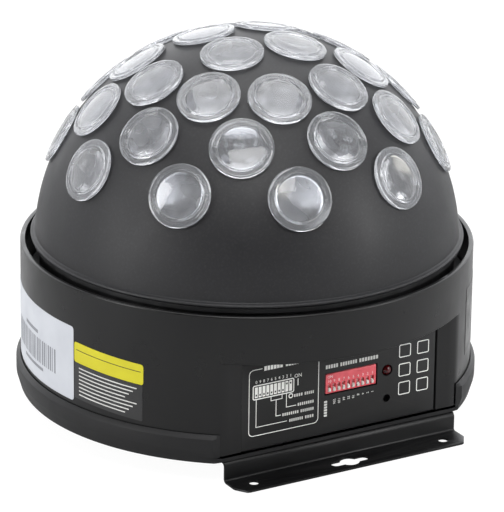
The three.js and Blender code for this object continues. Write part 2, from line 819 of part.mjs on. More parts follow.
function rollerPlaces() {
  const places = [];
  for (let i = 0; i < rollerCount; i += 1) {
    const angle = rollerFirstAngle + i * 2 * Math.PI / rollerCount;
    places.push([rollerDistance * Math.cos(angle), rollerDistance * Math.sin(angle)]);
  }
  return places;
}

function makeDeckPlate() {
  const through = [deckBottom - cutOverrun, deckTop + cutOverrun];
  const plate = rod(deckRadius, [deckBottom, deckTop], drumSides);
  return cutAll(plate, [
    rod(deckOpeningRadius, through, roundSides),
    rod(shaftHole, through, smallSides, driveDistance, 0),
    ...deckPostPlaces().map(([x, y]) => rod(postSpigotRadius + fitGap, through, neckSides, x, y)),
    ...rollerPlaces().map(([x, y]) => rod(axleRadius + fitGap, through, screwSides, x, y)),
  ]);
}

// A hexagonal post about its own axis, with a spigot that holds the deck plate
function makeDeckPost() {
  return rod(postRadius, [floorTop, deckBottom], neckSides)
    .add(rod(postSpigotRadius, [deckBottom - panFloor, deckTop + postSpigotRise], neckSides));
}

// Outline of a gear: teeth point outwards, or inwards for the ring
function gearOutline(teeth, pitchRadius, inwards) {
  const sign = inwards ? -1 : 1;
  const tip = pitchRadius + sign * addendum;
  const root = pitchRadius - sign * dedendum;
  const points = [];
  for (let i = 0; i < teeth; i += 1) {
    const angle = (i + (inwards ? 0.5 : 0)) * 2 * Math.PI / teeth;
    const tipHalf = toothTip / 2 / tip;
    const rootHalf = toothRoot / 2 / root;
    for (const [radius, offset] of [
      [root, -rootHalf], [tip, -tipHalf], [tip, tipHalf], [root, rootHalf]]) {
      points.push([radius * Math.cos(angle + offset), radius * Math.sin(angle + offset)]);
    }
  }
  return points;
}

const domeSeat = rimHeight + lipRise;
const ringTop = domeSeat - fitGap;

function makeRingGear() {
  const body = turned([
    [ringOuterRadius, ringBottom], [ringOuterRadius, ringTop - ringFlange],
    [ringFlangeRadius, ringTop - ringFlange], [ringFlangeRadius, ringTop],
    [ringRootRadius, ringTop], [ringRootRadius, toothLow], [ringWallRadius, toothLow],
    [ringWallRadius, railHigh], [railRadius, railHigh], [railRadius, railLow],
    [ringWallRadius, railLow], [ringWallRadius, ringBottom], [ringOuterRadius, ringBottom],
  ], ringTeeth);
  const band = rod(ringWallRadius, [toothLow, toothHigh], ringTeeth);
  const bore = prism(gearOutline(ringTeeth, ringPitchRadius, true),
    [toothLow - cutOverrun, toothHigh + cutOverrun]);
  const holes = domePinPlaces().map(([x, y]) => (
    rod(domePinRadius + fitGap, [ringTop - domePinLength, ringTop + cutOverrun], screwSides, x, y)));
  return cutAll(body.add(band.subtract(bore)), holes);
}

function makePinion() {
  const gear = prism(gearOutline(pinionTeeth, pinionPitchRadius, false),
    [toothLow, toothHigh]);
  const hub = rod(pinionHubRadius, [deckTop + fitGap, toothLow + fitGap], smallSides);
  const shaft = rod(shaftRadius, [deckBottom - fitGap, toothHigh + fitGap], smallSides);
  return joinAll([gear, hub, shaft]);
}

function makeRoller() {
  const low = railLow - fitGap;
  const high = railHigh + fitGap;
  return turned([
    [rollerBore, low - rollerFlange], [rollerFlangeRadius, low - rollerFlange],
    [rollerGrooveRadius, low], [rollerGrooveRadius, high],
    [rollerFlangeRadius, high + rollerFlange], [rollerBore, high + rollerFlange],
    [rollerBore, low - rollerFlange],
  ], roundSides);
}

// A roller's axle about its own axis, riveted in the deck plate
function makeRollerAxle() {
  const low = railLow - fitGap - rollerFlange - fitGap;
  const high = railHigh + fitGap + rollerFlange + fitGap;
  const foot = deckBottom - axleHead;
  return turned([
    [0, foot], [axleHeadRadius, foot], [axleHeadRadius, deckBottom], [axleRadius, deckBottom],
    [axleRadius, deckTop], [axleHeadRadius, deckTop], [axleHeadRadius, low], [axleRadius, low],
    [axleRadius, high], [axleHeadRadius, high], [axleHeadRadius, high + axleCap],
    [0, high + axleCap],
  ], screwSides);
}

function makeGearbox() {
  return rod(gearboxRadius, [deckBottom - fitGap - gearboxLength, deckBottom - fitGap], roundSides)
    .subtract(rod(shaftRadius + fitGap, [deckBottom - 2 * fitGap, deckBottom + cutOverrun],
      smallSides));
}

function makeMotor() {
  const top = deckBottom - fitGap - gearboxLength;
  const low = floorTop + motorFloorGap + motorTail;
  return turned([
    [0, top], [motorRadius, top], [motorRadius, low], [motorTailRadius, low],
    [motorTailRadius, low - motorTail], [0, low - motorTail],
  ], roundSides);
}

function sphereHeight(radius, offset) {
  return Math.sqrt(radius * radius - offset * offset);
}

function domeArc(radius, steps, rising) {
  const low = domeSeat + lipThickness - domeCentre;
  const start = Math.asin(low / radius);
  const points = arcPoints(0, domeCentre, radius, start, Math.PI / 2, steps);
  points[steps][0] = 0;
  return rising ? points : points.reverse();
}

// Half the distance between the two closest lens centres on the dome
function closestLensHalfway() {
  const centres = lensRings.flatMap((ring) => ringFrames(ring).map((frame) => (
    new THREE.Vector3(0, 0, domeRadius).applyMatrix4(frame))));
  const gaps = centres.flatMap((centre, i) => (
    centres.slice(i + 1).map((other) => centre.distanceTo(other))));
  return Math.min(...gaps) / 2;
}

function lensFrame(latitude, azimuth) {
  const lat = THREE.MathUtils.degToRad(latitude);
  const az = THREE.MathUtils.degToRad(azimuth);
  const frame = new THREE.Matrix4().makeRotationZ(az);
  frame.multiply(new THREE.Matrix4().makeRotationX(Math.PI / 2 - lat));
  return frame;
}

function ringFrames(ring) {
  const frames = [];
  for (let i = 0; i < ring.count; i += 1) {
    frames.push(lensFrame(ring.latitude, ring.azimuth + i * 360 / ring.count));
  }
  return frames;
}

function domePinPlaces() {
  const places = [];
  for (let i = 0; i < domePinCount; i += 1) {
    const angle = (i + 0.5) * 2 * Math.PI / domePinCount;
    places.push([domePinCircle * Math.cos(angle), domePinCircle * Math.sin(angle)]);
  }
  return places;
}

function makeDomeShell() {
  const seat = domeSeat;
  const top = seat + lipThickness;
  const body = turned([
    ...domeArc(domeRadius, domeSteps, false), [lipRadius, top], [lipRadius, seat],
    [domeFlangeInner, seat], [domeFlangeInner, top],
    ...domeArc(domeRadius - domeWall, domeInnerSteps, true),
  ], domeSides);
  const from = domeRadius - domeWall - cutOverrun;
  const to = domeRadius + cutOverrun;
  const cutters = lensRings.flatMap((ring) => ringFrames(ring).map((frame) => {
    const hole = radialRod(lensHoleRadius, [from, to], screwSides, frame);
    hole.translate(0, 0, domeCentre);
    return toSolid(hole);
  }));
  const pins = domePinPlaces().map(([x, y]) => (
    rod(domePinRadius, [seat - domePinLength + fitGap, seat + lipThickness / 2], screwSides, x, y)));
  return joinAll([cutAll(body, cutters), ...pins]);
}

// A round bar along a lens's axis between two distances from the dome's centre
function radialRod(radius, [from, to], sides, frame) {
  const geometry = new THREE.CylinderGeometry(radius, radius, to - from, sides);
  geometry.rotateX(Math.PI / 2);
  geometry.translate(0, 0, (from + to) / 2);
  geometry.applyMatrix4(frame);
  return geometry;
}

// One ring of clear lenses. Each disc seats on the rim of its hole, with a raised window and a
// slight crown, and its neck joins it to a clear band behind the dome's wall.
function makeLensRing(ring) {
  const seat = sphereHeight(domeRadius, lensHoleRadius) + fitGap;
  const rim = seat + lensEdge;
  const shoulder = rim + lensShoulder;
  const bandOuter = domeRadius - domeWall - lensBandGap;
  const bandInner = bandOuter - lensBand;
  const discs = ringFrames(ring).map((frame) => {
    const points = [
      [0, seat], [lensRadius, seat], [lensRadius, rim], [lensWindowRadius, shoulder],
      [0, shoulder + lensCrown],
    ].map(([radius, height]) => new THREE.Vector2(radius, height));
    const geometry = new THREE.LatheGeometry(points, lensSides);
    geometry.rotateX(Math.PI / 2);
    geometry.applyMatrix4(frame);
    const neck = radialRod(lensNeckRadius, [bandInner + lensBand / 2, seat + lensEdge / 2],
      neckSides, frame);
    return toSolid(geometry).add(toSolid(neck));
  });
  const [low, high] = [-1, 1].map((side) => (
    THREE.MathUtils.degToRad(ring.latitude + side * lensBandHalfAngle)));
  const corners = [[bandOuter, low], [bandOuter, high], [bandInner, high], [bandInner, low],
    [bandOuter, low]];
  const band = turned(corners.map(([radius, angle]) => (
    [radius * Math.cos(angle), radius * Math.sin(angle)])), domeSides);
  return joinAll([band, ...discs]);
}

const sinkBottom = deckTop + fitGap;
const sinkTop = sinkBottom + sinkHeight;
const ledBoardTop = sinkTop + fitGap + ledBoardThickness;
const emitterTop = ledBoardTop + emitterHeight;

function makeHeatSink() {
  const outline = [];
  const step = 2 * Math.PI / sinkFinCount;
  const tipHalf = Math.asin(sinkFin / 2 / sinkRadius);
  const rootHalf = Math.asin(sinkFin / 2 / sinkCoreRadius);
  for (let i = 0; i < sinkFinCount; i += 1) {
    for (const [radius, offset] of [[sinkCoreRadius, -rootHalf], [sinkRadius, -tipHalf],
      [sinkRadius, tipHalf], [sinkCoreRadius, rootHalf]]) {
      const angle = i * step + offset;
      outline.push([radius * Math.cos(angle), radius * Math.sin(angle)]);
    }
  }
  return prism(outline, [sinkBottom, sinkTop]);
}

function emitterPlaces() {
  const places = [[0, 0]];
  for (let i = 0; i < emitterCount; i += 1) {
    const angle = i * 2 * Math.PI / emitterCount;
    places.push([emitterCircle * Math.cos(angle), emitterCircle * Math.sin(angle)]);
  }
  return places;
}

// The round board with its emitters soldered on
function makeLedBoard() {
  const half = emitterSize / 2;
  const board = rod(ledBoardRadius, [sinkTop + fitGap, ledBoardTop], roundSides);
  return joinAll([board, ...emitterPlaces().map(([x, y]) => slab([x - half, x + half],
    [y - half, y + half], [ledBoardTop - ledBoardThickness / 2, emitterTop]))]);
}

// The moulded optic: a collimator over each emitter, joined by a thin plate
function makeOptics() {
  const low = emitterTop + fitGap;
  const high = low + opticHeight;
  const plate = rod(opticPlateRadius, [high - opticRim, high], roundSides);
  return joinAll([plate, ...emitterPlaces().map(([x, y]) => {
    const points = [
      [0, low], [opticFootRadius, low], [opticTopRadius, high - opticRim],
      [opticTopRadius, high], [0, high],
    ].map(([radius, height]) => new THREE.Vector2(radius, height));
    const geometry = new THREE.LatheGeometry(points, smallSides);
    geometry.rotateX(Math.PI / 2);
    geometry.translate(x, y, 0);
    return toSolid(geometry);
  })]);
}

const fanTop = deckBottom;
const fanBottom = fanTop - fanDepth;

function makeFanFrame() {
  const half = fanSize / 2;
  const frame = slab([-half, half], [-half, half], [fanBottom, fanTop])
    .subtract(rod(fanBoreRadius, [fanBottom - cutOverrun, fanTop + cutOverrun], roundSides));
  const plate = [fanBottom, fanBottom + fanPlate];
  const arm = fanArmWidth / 2;
  const carrier = joinAll([
    rod(fanHubRadius, plate, roundSides),
    slab([-half + arm, half - arm], [-arm, arm], plate),
    slab([-arm, arm], [-half + arm, half - arm], plate),
  ]);
  const socket = rod(fanPinRadius + fitGap, [fanBottom - cutOverrun, plate[1] + cutOverrun],
    smallSides);
  return frame.add(carrier).subtract(socket);
}

// The fan's rotor about its own axis, hub and blades in one
function makeFanRotor() {
  const low = fanBottom + fanPlate + fitGap;
  const high = low + fanHubHeight;
  const parts = [
    rod(fanHubRadius, [low, high], roundSides),
    rod(fanPinRadius, [low - fanPin, low + fitGap], smallSides),
  ];
  const span = fanRotorRadius - fanHubRadius + fanBladeEmbed;
  for (let i = 0; i < fanBladeCount; i += 1) {
    const geometry = new THREE.BoxGeometry(span, fanBladeChord, fanBlade);
    geometry.rotateX(fanBladePitch);
    geometry.translate(fanHubRadius - fanBladeEmbed + span / 2, 0, (low + high) / 2);
    geometry.rotateZ(i * 2 * Math.PI / fanBladeCount);
    parts.push(toSolid(geometry));
  }
  return joinAll(parts).intersect(rod(fanRotorRadius, [low - fanPin, high], roundSides));
}

const powerBottom = floorTop + powerStandoff;
const powerTop = powerBottom + boardThickness;

function powerPostPlaces() {
  const xs = [powerLeft + powerPostInset, powerRight - powerPostInset];
  const ys = [powerFront + powerPostInset, powerBack - powerPostInset];
  return xs.flatMap((x) => ys.map((y) => [x, y]));
}

function makeTransformer() {
  return slab([transformerX - transformerWidth / 2, transformerX + transformerWidth / 2],
    [powerPartsY - transformerDepth / 2, powerPartsY + transformerDepth / 2],
    [powerTop, powerTop + transformerHeight]);
}

// A capacitor about its own axis
function makeCapacitor() {
  return rod(capacitorRadius, [powerTop, powerTop + capacitorHeight], smallSides);
}

// Casing and mounts
add(ball, 'drum_shell', makeDrumShell(), 'drumCoat');
add(ball, 'base_pan', makeBasePan(), 'drumCoat');
const bracket = makeBracket();
add(ball, 'front_bracket', bracket, 'bracketCoat');
add(ball, 'rear_bracket', bracket, 'bracketCoat').rotation.z = Math.PI;
const screw = makeScrew();
bracketScrewPlaces().forEach(([x, y], i) => {
  add(ball, `bracket_screw_${i + 1}`, screw, 'zincSteel')
    .position.set(x, y, bracketHeight - bracketSheet);
});

// Switch panel and what it carries
add(ball, 'control_panel', makeControlPanel(), 'panelCoat');
add(ball, 'control_board', makeControlBoard(), 'boardGreen');
add(ball, 'address_switch_body', makeSwitchBody(), 'switchRed');
const lever = makeLever();
const leverY = -(flatDistance - switchSink) + (slotDepth - leverGap - leverProud) / 2;
for (let i = 0; i < leverCount; i += 1) {
  const name = `switch_lever_${String(i + 1).padStart(2, '0')}`;
  const x = switchX + (i - (leverCount - 1) / 2) * leverPitch;
  add(ball, name, lever, 'leverWhite').position.set(x, leverY, leverRestZ);
}
add(ball, 'status_lamp', makeStatusLamp(), 'lampRed');
add(ball, 'microphone', makeMicrophone(), 'blackPlastic');

// Connector panel at the rear
add(ball, 'rear_panel', makeRearPanel(), 'panelCoat');
add(ball, 'mains_inlet', makeMainsInlet(), 'blackPlastic');
add(ball, 'fuse_holder', makeFuseHolder(), 'blackPlastic');
add(ball, 'fuse_cap', makeFuseCap(), 'blackPlastic');
add(ball, 'signal_input', makeSignalInput(), 'blackPlastic');
add(ball, 'signal_output', makeSignalOutput(), 'blackPlastic');
add(ball, 'signal_output_latch', makeLatch(), 'zincSteel').position.set(signalOutX, latchRestY, latchZ);

// Deck, drive and guide rollers
add(ball, 'deck_plate', makeDeckPlate(), 'bracketCoat');
const deckPost = makeDeckPost();
deckPostPlaces().forEach(([x, y], i) => {
  add(ball, `deck_post_${i + 1}`, deckPost, 'zincSteel').position.set(x, y, 0);
});
const drive = new THREE.Group();
drive.position.set(driveDistance, 0, 0);
ball.add(drive);
add(drive, 'motor_gearbox', makeGearbox(), 'zincSteel');
add(drive, 'drive_motor', makeMotor(), 'zincSteel');
add(drive, 'drive_pinion', makePinion(), 'whiteNylon');
const axle = makeRollerAxle();
const roller = makeRoller();
rollerPlaces().forEach(([x, y], i) => {
  add(ball, `roller_axle_${i + 1}`, axle, 'zincSteel').position.set(x, y, 0);
  add(ball, `guide_roller_${i + 1}`, roller, 'whiteNylon').position.set(x, y, 0);
});

// Turning dome
add(ball, 'ring_gear', makeRingGear(), 'blackPlastic');
add(ball, 'dome_shell', makeDomeShell(), 'domePlastic');
const dome = new THREE.Group();
dome.position.z = domeCentre;
ball.add(dome);
for (const ring of lensRings) add(dome, ring.name, makeLensRing(ring), 'clearLens');

// Lamp unit
add(ball, 'heat_sink', makeHeatSink(), 'aluminium');
add(ball, 'led_board', makeLedBoard(), 'aluminium');
add(ball, 'led_optic', makeOptics(), 'clearLens');

// Fan and power supply
add(ball, 'fan_frame', makeFanFrame(), 'blackPlastic');
add(ball, 'fan_rotor', makeFanRotor(), 'blackPlastic');
add(ball, 'power_board', slab([powerLeft, powerRight], [powerFront, powerBack],
  [powerBottom, powerTop]), 'boardGreen');
add(ball, 'power_transformer', makeTransformer(), 'emitterYellow');
const capacitor = makeCapacitor();
[-1, 1].forEach((side, i) => {
  add(ball, `power_capacitor_${i + 1}`, capacitor, 'blackPlastic')
    .position.set(capacitorX, powerPartsY + side * capacitorSpacing / 2, 0);
});

export default ball;
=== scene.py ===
# Looks of the rotating LED ball light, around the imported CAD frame. Metres, +Z up.
# The switch panel faces -Y and the connector panel faces +Y; the dome turns about +Z.
# Constants and shapes are in millimetres and degrees, unless they say otherwise.
import json
from math import asin, atan2, cos, degrees, hypot, pi, radians, sin, sqrt, tan

import bmesh
import bpy
from mathutils import Matrix, Vector

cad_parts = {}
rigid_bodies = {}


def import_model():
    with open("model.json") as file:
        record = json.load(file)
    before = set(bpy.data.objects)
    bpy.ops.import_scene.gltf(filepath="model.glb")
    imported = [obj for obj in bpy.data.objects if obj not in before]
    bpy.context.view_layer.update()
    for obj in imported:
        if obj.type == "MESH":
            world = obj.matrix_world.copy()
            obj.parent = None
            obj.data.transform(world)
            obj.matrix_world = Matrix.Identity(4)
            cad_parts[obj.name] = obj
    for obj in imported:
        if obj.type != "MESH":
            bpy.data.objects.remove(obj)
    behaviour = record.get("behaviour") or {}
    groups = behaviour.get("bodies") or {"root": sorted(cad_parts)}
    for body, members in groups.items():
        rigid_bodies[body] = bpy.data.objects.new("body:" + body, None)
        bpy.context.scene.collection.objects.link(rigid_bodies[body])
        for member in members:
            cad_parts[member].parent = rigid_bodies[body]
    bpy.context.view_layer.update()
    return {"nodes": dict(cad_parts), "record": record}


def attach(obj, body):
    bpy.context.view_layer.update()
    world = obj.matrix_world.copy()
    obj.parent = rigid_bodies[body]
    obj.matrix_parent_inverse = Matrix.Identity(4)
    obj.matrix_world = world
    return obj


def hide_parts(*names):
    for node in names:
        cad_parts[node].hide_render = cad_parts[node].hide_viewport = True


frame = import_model()
MM = 0.001


def mm(*values):
    return Vector([v * MM for v in values])


def span(middle, half):
    return middle - half, middle + half


def add_object(name, data):
    obj = bpy.data.objects.new(name, data)
    bpy.context.scene.collection.objects.link(obj)
    return obj


# Camera, solved from the photograph; all its angles but the azimuth are in radians
CAMERA_AZIMUTH = -30.33
CAMERA_ELEVATION = 0.3531
CAMERA_DISTANCE = 1776.35
CAMERA_TARGET = (0, 0, 81)
CAMERA_YAW = 0.0014
CAMERA_PITCH = -0.0056
CAMERA_ROLL = 0.0120
FOCAL_PIXELS = 3787.4
LONG_SIDE_PIXELS = 512
SENSOR = 36


def turned(a, b, angle):
    """Turns two axes in their plane, the first towards the second."""
    c, s = cos(angle), sin(angle)
    return a * c + b * s, b * c - a * s


def make_camera():
    a, e = radians(CAMERA_AZIMUTH), CAMERA_ELEVATION
    back = Vector((sin(a) * cos(e), -cos(a) * cos(e), sin(e)))
    ahead = -back
    right = ahead.cross(Vector((0, 0, 1))).normalized()
    up = right.cross(ahead)
    ahead, right = turned(ahead, right, CAMERA_YAW)
    ahead, up = turned(ahead, up, CAMERA_PITCH)
    right, up = turned(right, up, CAMERA_ROLL)
    camera = add_object("camera", bpy.data.cameras.new("camera"))
    camera.data.sensor_width = SENSOR
    camera.data.lens = FOCAL_PIXELS / LONG_SIDE_PIXELS * SENSOR
    camera.data.clip_start, camera.data.clip_end = 0.05, 50
    basis = Matrix((right, up, -ahead)).transposed().to_4x4()
    basis.translation = mm(*CAMERA_TARGET) + back * CAMERA_DISTANCE * MM
    camera.matrix_world = basis
    bpy.context.scene.camera = camera


make_camera()

# Main sizes of the CAD part
DRUM_R = 106.2
DRUM_INNER = 103.8
RIM = 81.0
FLAT = 85.9
FLAT_WALL = 1.5
LOW_RECESS = 1.0
LEDGE = 58.2
WINDOW = 52.0
WINDOW_LOW = 13.5
DRUM_LOW = 11.8
PAN_LOW = 10.0
PAN_FLOOR = 11.5
DOME_R = 99.5
DOME_WALL = 2.2
DOME_Z = 79.1
LIP_R = 101.4
LIP_LOW = 83.0
LIP_HIGH = 84.8
LIP_INNER = 92.5
LENS_R = 14.7
LENS_HOLE = 10.9
LENS_SEAT = 99.2
LENS_RINGS = (("a", 10, 29.9, -50.7), ("b", 10, 43.9, -32.6), ("c", 10, 58.8, -50.6), ("d", 4, 77.0, -50.6))
BOARD_FACE = 79.9

# The gap between shells of one piece
HAIR = 0.01

# Turns of a prism, to run along X from a (y, z) outline or along Y from an (x, z) outline
ALONG_X = Matrix(((0, 0, 1, 0), (1, 0, 0, 0), (0, 1, 0, 0), (0, 0, 0, 1)))
ALONG_Y = Matrix(((1, 0, 0, 0), (0, 0, 1, 0), (0, 1, 0, 0), (0, 0, 0, 1)))
FRONT, REAR = -1, 1


# Mesh helpers

def rotation(angle, axis):
    return Matrix.Rotation(radians(angle), 4, axis)


def shift(x, y, z):
    return Matrix.Translation(mm(x, y, z))


def stand_out(side, x, z, y=0):
    """Stands a turned shape's axis out of the front or rear panel, at a place on it."""
    return shift(x, y, z) @ rotation(-90 * side, "X")


def to_mesh(name, bm):
    mesh = bpy.data.meshes.new(name)
    bm.to_mesh(mesh)
    bm.free()
    return mesh


def weld(bm, distance=1e-7):
    bmesh.ops.remove_doubles(bm, verts=bm.verts, dist=distance)
    return bm


def piece(name, bm, slot, node=None, look=None, body="base", sharp=32):
    """Makes a visible piece. It has its slot's look unless given another, and may stand for a CAD node."""
    bmesh.ops.recalc_face_normals(bm, faces=bm.faces)
    for face in bm.faces:
        face.smooth = True
    for edge in bm.edges:
        edge.smooth = not (len(edge.link_faces) == 2 and edge.calc_face_angle(0) > radians(sharp))
    obj = add_object(name, to_mesh(name, bm))
    obj.data.materials.append(LOOKS[look or slot])
    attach(obj, body)
    if node:
        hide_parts(node)
    return obj


def join(bm, columns, closed=True, skip=None, around=True):
    """Adds the faces between neighbouring columns of vertices; closed joins the last row to the first too."""
    rows = len(columns[0])
    for i, left in enumerate(columns if around else columns[:-1]):
        right = columns[(i + 1) % len(columns)]
        for j in range(rows if closed else rows - 1):
            k = (j + 1) % rows
            corners = list(dict.fromkeys((left[j], right[j], right[k], left[k])))
            if len(corners) > 2 and not (skip and skip(i, j)):
                bm.faces.new(corners)


def lathe(bm, profile, sides, matrix=None, closed=True, shape=None):
    """Adds a turned ring about Z from points of (radius, height), which shape can change by row and angle."""
    columns = []
    for i in range(sides):
        a = 2 * pi * i / sides
        column = []
        for j, (r, z) in enumerate(profile):
            if r == 0 and i:
                column.append(columns[0][j])
                continue
            if shape:
                r = shape(j, r, a)
            p = Vector((r * cos(a), r * sin(a), z)) * MM
            column.append(bm.verts.new(matrix @ p if matrix else p))
        columns.append(column)
    join(bm, columns, closed)


def arc(cx, cy, r, start, end, steps):
    stops = [radians(start + (end - start) * i / steps) for i in range(steps + 1)]
    return [(cx + r * cos(a), cy + r * sin(a)) for a in stops]


def circle(x, y, r, sides):
    return arc(x, y, r, 0, 360 - 360 / sides, sides - 1)


def rounded(points, radii, steps=4):
    """Rounds the corners of a closed outline of (x, y) points."""
    out = []
    n = len(points)
    for i, (p, r) in enumerate(zip(points, radii)):
        if not r:
            out.append(tuple(p))
            continue
        p = Vector(p)
        a = (Vector(points[i - 1]) - p).normalized()
        b = (Vector(points[(i + 1) % n]) - p).normalized()
        half = a.angle(b) / 2
        back = r / tan(half)
        start, end = p + a * back, p + b * back
        centre = p + (a + b).normalized() * (r / sin(half))
        for k in range(steps + 1):
            q = start.lerp(end, k / steps) - centre
            out.append(tuple(centre + q.normalized() * r))
    return out


def prism(bm, outline, z0, z1, matrix=None):
    """Adds an upright prism from an outline of (x, y) points."""
    ends = []
    for z in (z0, z1):
        places = [Vector((x, y, z)) * MM for x, y in outline]
        ends.append([bm.verts.new(matrix @ p if matrix else p) for p in places])
    low, high = ends
    n = len(outline)
    bm.faces.new(low[::-1])
    bm.faces.new(high)
    for i in range(n):
        j = (i + 1) % n
        bm.faces.new((low[i], low[j], high[j], high[i]))


def box(bm, x, y, z, bevel=0.0, segments=2):
    """Adds a block between limits, with rounded edges."""
    verts = bmesh.ops.create_cube(bm, size=1)["verts"]
    size = Vector((x[1] - x[0], y[1] - y[0], z[1] - z[0])) * MM
    centre = Vector((x[0] + x[1], y[0] + y[1], z[0] + z[1])) * MM / 2
    for v in verts:
        v.co = Vector((v.co.x * size.x, v.co.y * size.y, v.co.z * size.z)) + centre
    if bevel:
        edges = {e for v in verts for e in v.link_edges}
        bmesh.ops.bevel(bm, geom=list(edges), offset=bevel * MM, segments=segments, profile=0.5, affect="EDGES")


def new(add, *args, **values):
    """A new mesh of one shape, from the function that adds it."""
    bm = bmesh.new()
    add(bm, *args, **values)
    return bm


def add_mesh(bm, mesh):
    bm.from_mesh(mesh)
    bpy.data.meshes.remove(mesh)
    return bm


def merged(*parts):
    out = bmesh.new()
    for bm in parts:
        add_mesh(out, to_mesh("scratch", bm))
    return out


def scratch(bm):
    bmesh.ops.recalc_face_normals(bm, faces=bm.faces)
    return add_object("scratch", to_mesh("scratch", bm))


def applied(*objs):
    """The first scratch object's mesh with its modifiers applied; the objects are removed."""
    graph = bpy.context.evaluated_depsgraph_get()
    mesh = bpy.data.meshes.new_from_object(objs[0].evaluated_get(graph))
    bpy.data.batch_remove([*objs, *[obj.data for obj in objs]])
    return mesh


def cut(bm, cutter):
    """Takes one closed mesh away from another."""
    solid, tool = scratch(bm), scratch(cutter)
    modifier = solid.modifiers.new("cut", "BOOLEAN")
    modifier.operation = "DIFFERENCE"
    modifier.solver = "EXACT"
    modifier.object = tool
    return add_mesh(bmesh.new(), applied(solid, tool))


def edge_bevel(bm, width):
    """Rounds the sharp edges of a mesh."""
    obj = scratch(bm)
    bevel = obj.modifiers.new("edge", "BEVEL")
    bevel.width = width * MM
    bevel.segments = 2
    bevel.limit_method = "ANGLE"
    bevel.angle_limit = radians(35)
    return add_mesh(bmesh.new(), applied(obj))


# Materials

def rgb(r, g, b):
    """A colour as it shows, 0 to 255, in linear light."""
    shown = [v / 255 for v in (r, g, b)]
    return (*[v / 12.92 if v <= 0.04045 else ((v + 0.055) / 1.055) ** 2.4 for v in shown], 1)


class Tree:
    """Short ways to add to a node tree."""

    def __init__(self, tree):
        self.tree = tree

    def link(self, a, b):
        self.tree.links.new(a, b)

    def node(self, kind, inputs=None, **values):
        """Adds a node. Each of its inputs takes a value, or the output that feeds it."""
        made = self.tree.nodes.new(kind)
        for key, value in values.items():
            setattr(made, key, value)
        for key, value in (inputs or {}).items():
            if isinstance(value, bpy.types.NodeSocket):
                self.link(value, made.inputs[key])
            else:
                made.inputs[key].default_value = value
        return made

    def ramp(self, fac, low, high, a=0.0, b=1.0, **values):
        sockets = {"Value": fac, "From Min": a, "From Max": b, "To Min": low, "To Max": high}
        return self.node("ShaderNodeMapRange", sockets, **values).outputs["Result"]


LOOKS = {}


class Build(Tree):
    """A procedural material around one Principled shader, kept in LOOKS by its name."""

    def __init__(self, name, colour, roughness, **sockets):
        LOOKS[name] = bpy.data.materials.new(name)
        LOOKS[name].use_nodes = True
        super().__init__(LOOKS[name].node_tree)
        self.shader = self.tree.nodes["Principled BSDF"]
        sockets.update(Base_Color=colour, Roughness=roughness)
        for key, value in sockets.items():
            self.shader.inputs[key.replace("_", " ")].default_value = value
        self.colour = colour
        self.place = self.node("ShaderNodeTexCoord").outputs["Object"]
        self.bumps = None

    def noise(self, scale, detail=2.0, rough=0.5, stretch=None):
        place = self.place
        if stretch:
            place = self.node("ShaderNodeMapping", {"Vector": place, "Scale": stretch}).outputs["Vector"]
        sockets = {"Vector": place, "Scale": scale, "Detail": detail, "Roughness": rough}
        return self.node("ShaderNodeTexNoise", sockets).outputs["Fac"]

    def tint(self, fac, other, low, high):
        """Mixes another colour over the earlier ones, as the factor goes from low to high."""
        base = self.shader.inputs["Base Color"]
        under = base.links[0].from_socket if base.links else self.colour
        sockets = {"Factor": self.ramp(fac, 0, 1, low, high), "A": under, "B": other}
        self.link(self.node("ShaderNodeMix", sockets, data_type="RGBA").outputs["Result"], base)

    def bump(self, fac, strength, distance):
        sockets = {"Strength": strength, "Distance": distance, "Height": fac}
        if self.bumps:
            sockets["Normal"] = self.bumps
        self.bumps = self.node("ShaderNodeBump", sockets).outputs["Normal"]
        self.link(self.bumps, self.shader.inputs["Normal"])

    def rough(self, fac, low, high):
        self.link(self.ramp(fac, low, high, 0.3, 0.7), self.shader.inputs["Roughness"])


def dressed(name, colour, roughness, tints=(), rough=None, bumps=(), **sockets):
    """A material with noises. Each row starts with what makes the noise, then says what the noise does."""
    made = Build(name, colour, roughness, **sockets)
    for noise, *does in tints:
        made.tint(made.noise(*noise), *does)
    if rough:
        made.rough(made.noise(*rough[0]), *rough[1:])
    for noise, *does in bumps:
        made.bump(made.noise(*noise), *does)
    return made


# Where the paler colour of sharp edges comes in: partly wear, partly a painted highlight
EDGE_WEAR_AND_HIGHLIGHT = (0.56, 0.7)


def powder(name, colour, edge_wear_and_highlight, roughness, specular):
    """Powder coat: a fine grain over a soft orange peel, and a paler colour on sharp edges, partly wear and
    partly a painted highlight.
    """
    lighter = tuple(v * 1.25 for v in colour[:3]) + (1,)
    made = dressed(name, colour, roughness, [((26, 4), lighter, 0.4, 0.7)],
                   ((60, 3), roughness - 0.05, roughness + 0.06),
                   [((2600, 1), 0.25, 0.00003), ((420, 2), 0.12, 0.00006)], Specular_IOR_Level=specular)
    # Sharp edges get a paler colour: partly wear, partly a painted highlight
    if edge_wear_and_highlight:
        made.tint(made.node("ShaderNodeNewGeometry").outputs["Pointiness"], edge_wear_and_highlight, *EDGE_WEAR_AND_HIGHLIGHT)


def metal(name, colour, other, roughness, stretch=(1, 1, 1), scale=300):
    dressed(name, colour, roughness, [((40, 4), other, 0.35, 0.7)],
            ((scale, 3, 0.6, stretch), roughness - 0.08, roughness + 0.12),
            [((scale * 4, 2, 0.6, stretch), 0.12, 0.00002)], Metallic=1.0)


# The drum's pale edge colour also paints a highlight along its rim
powder("drum_coat", rgb(10, 10, 11), rgb(104, 104, 107), 0.31, 0.34)
powder("pan_coat", rgb(27, 27, 28), None, 0.5, 0.28)
powder("bracket_coat", rgb(7, 7, 8), rgb(60, 60, 62), 0.39, 0.31)
powder("panel_coat", rgb(13, 13, 13), rgb(48, 48, 50), 0.48, 0.4)

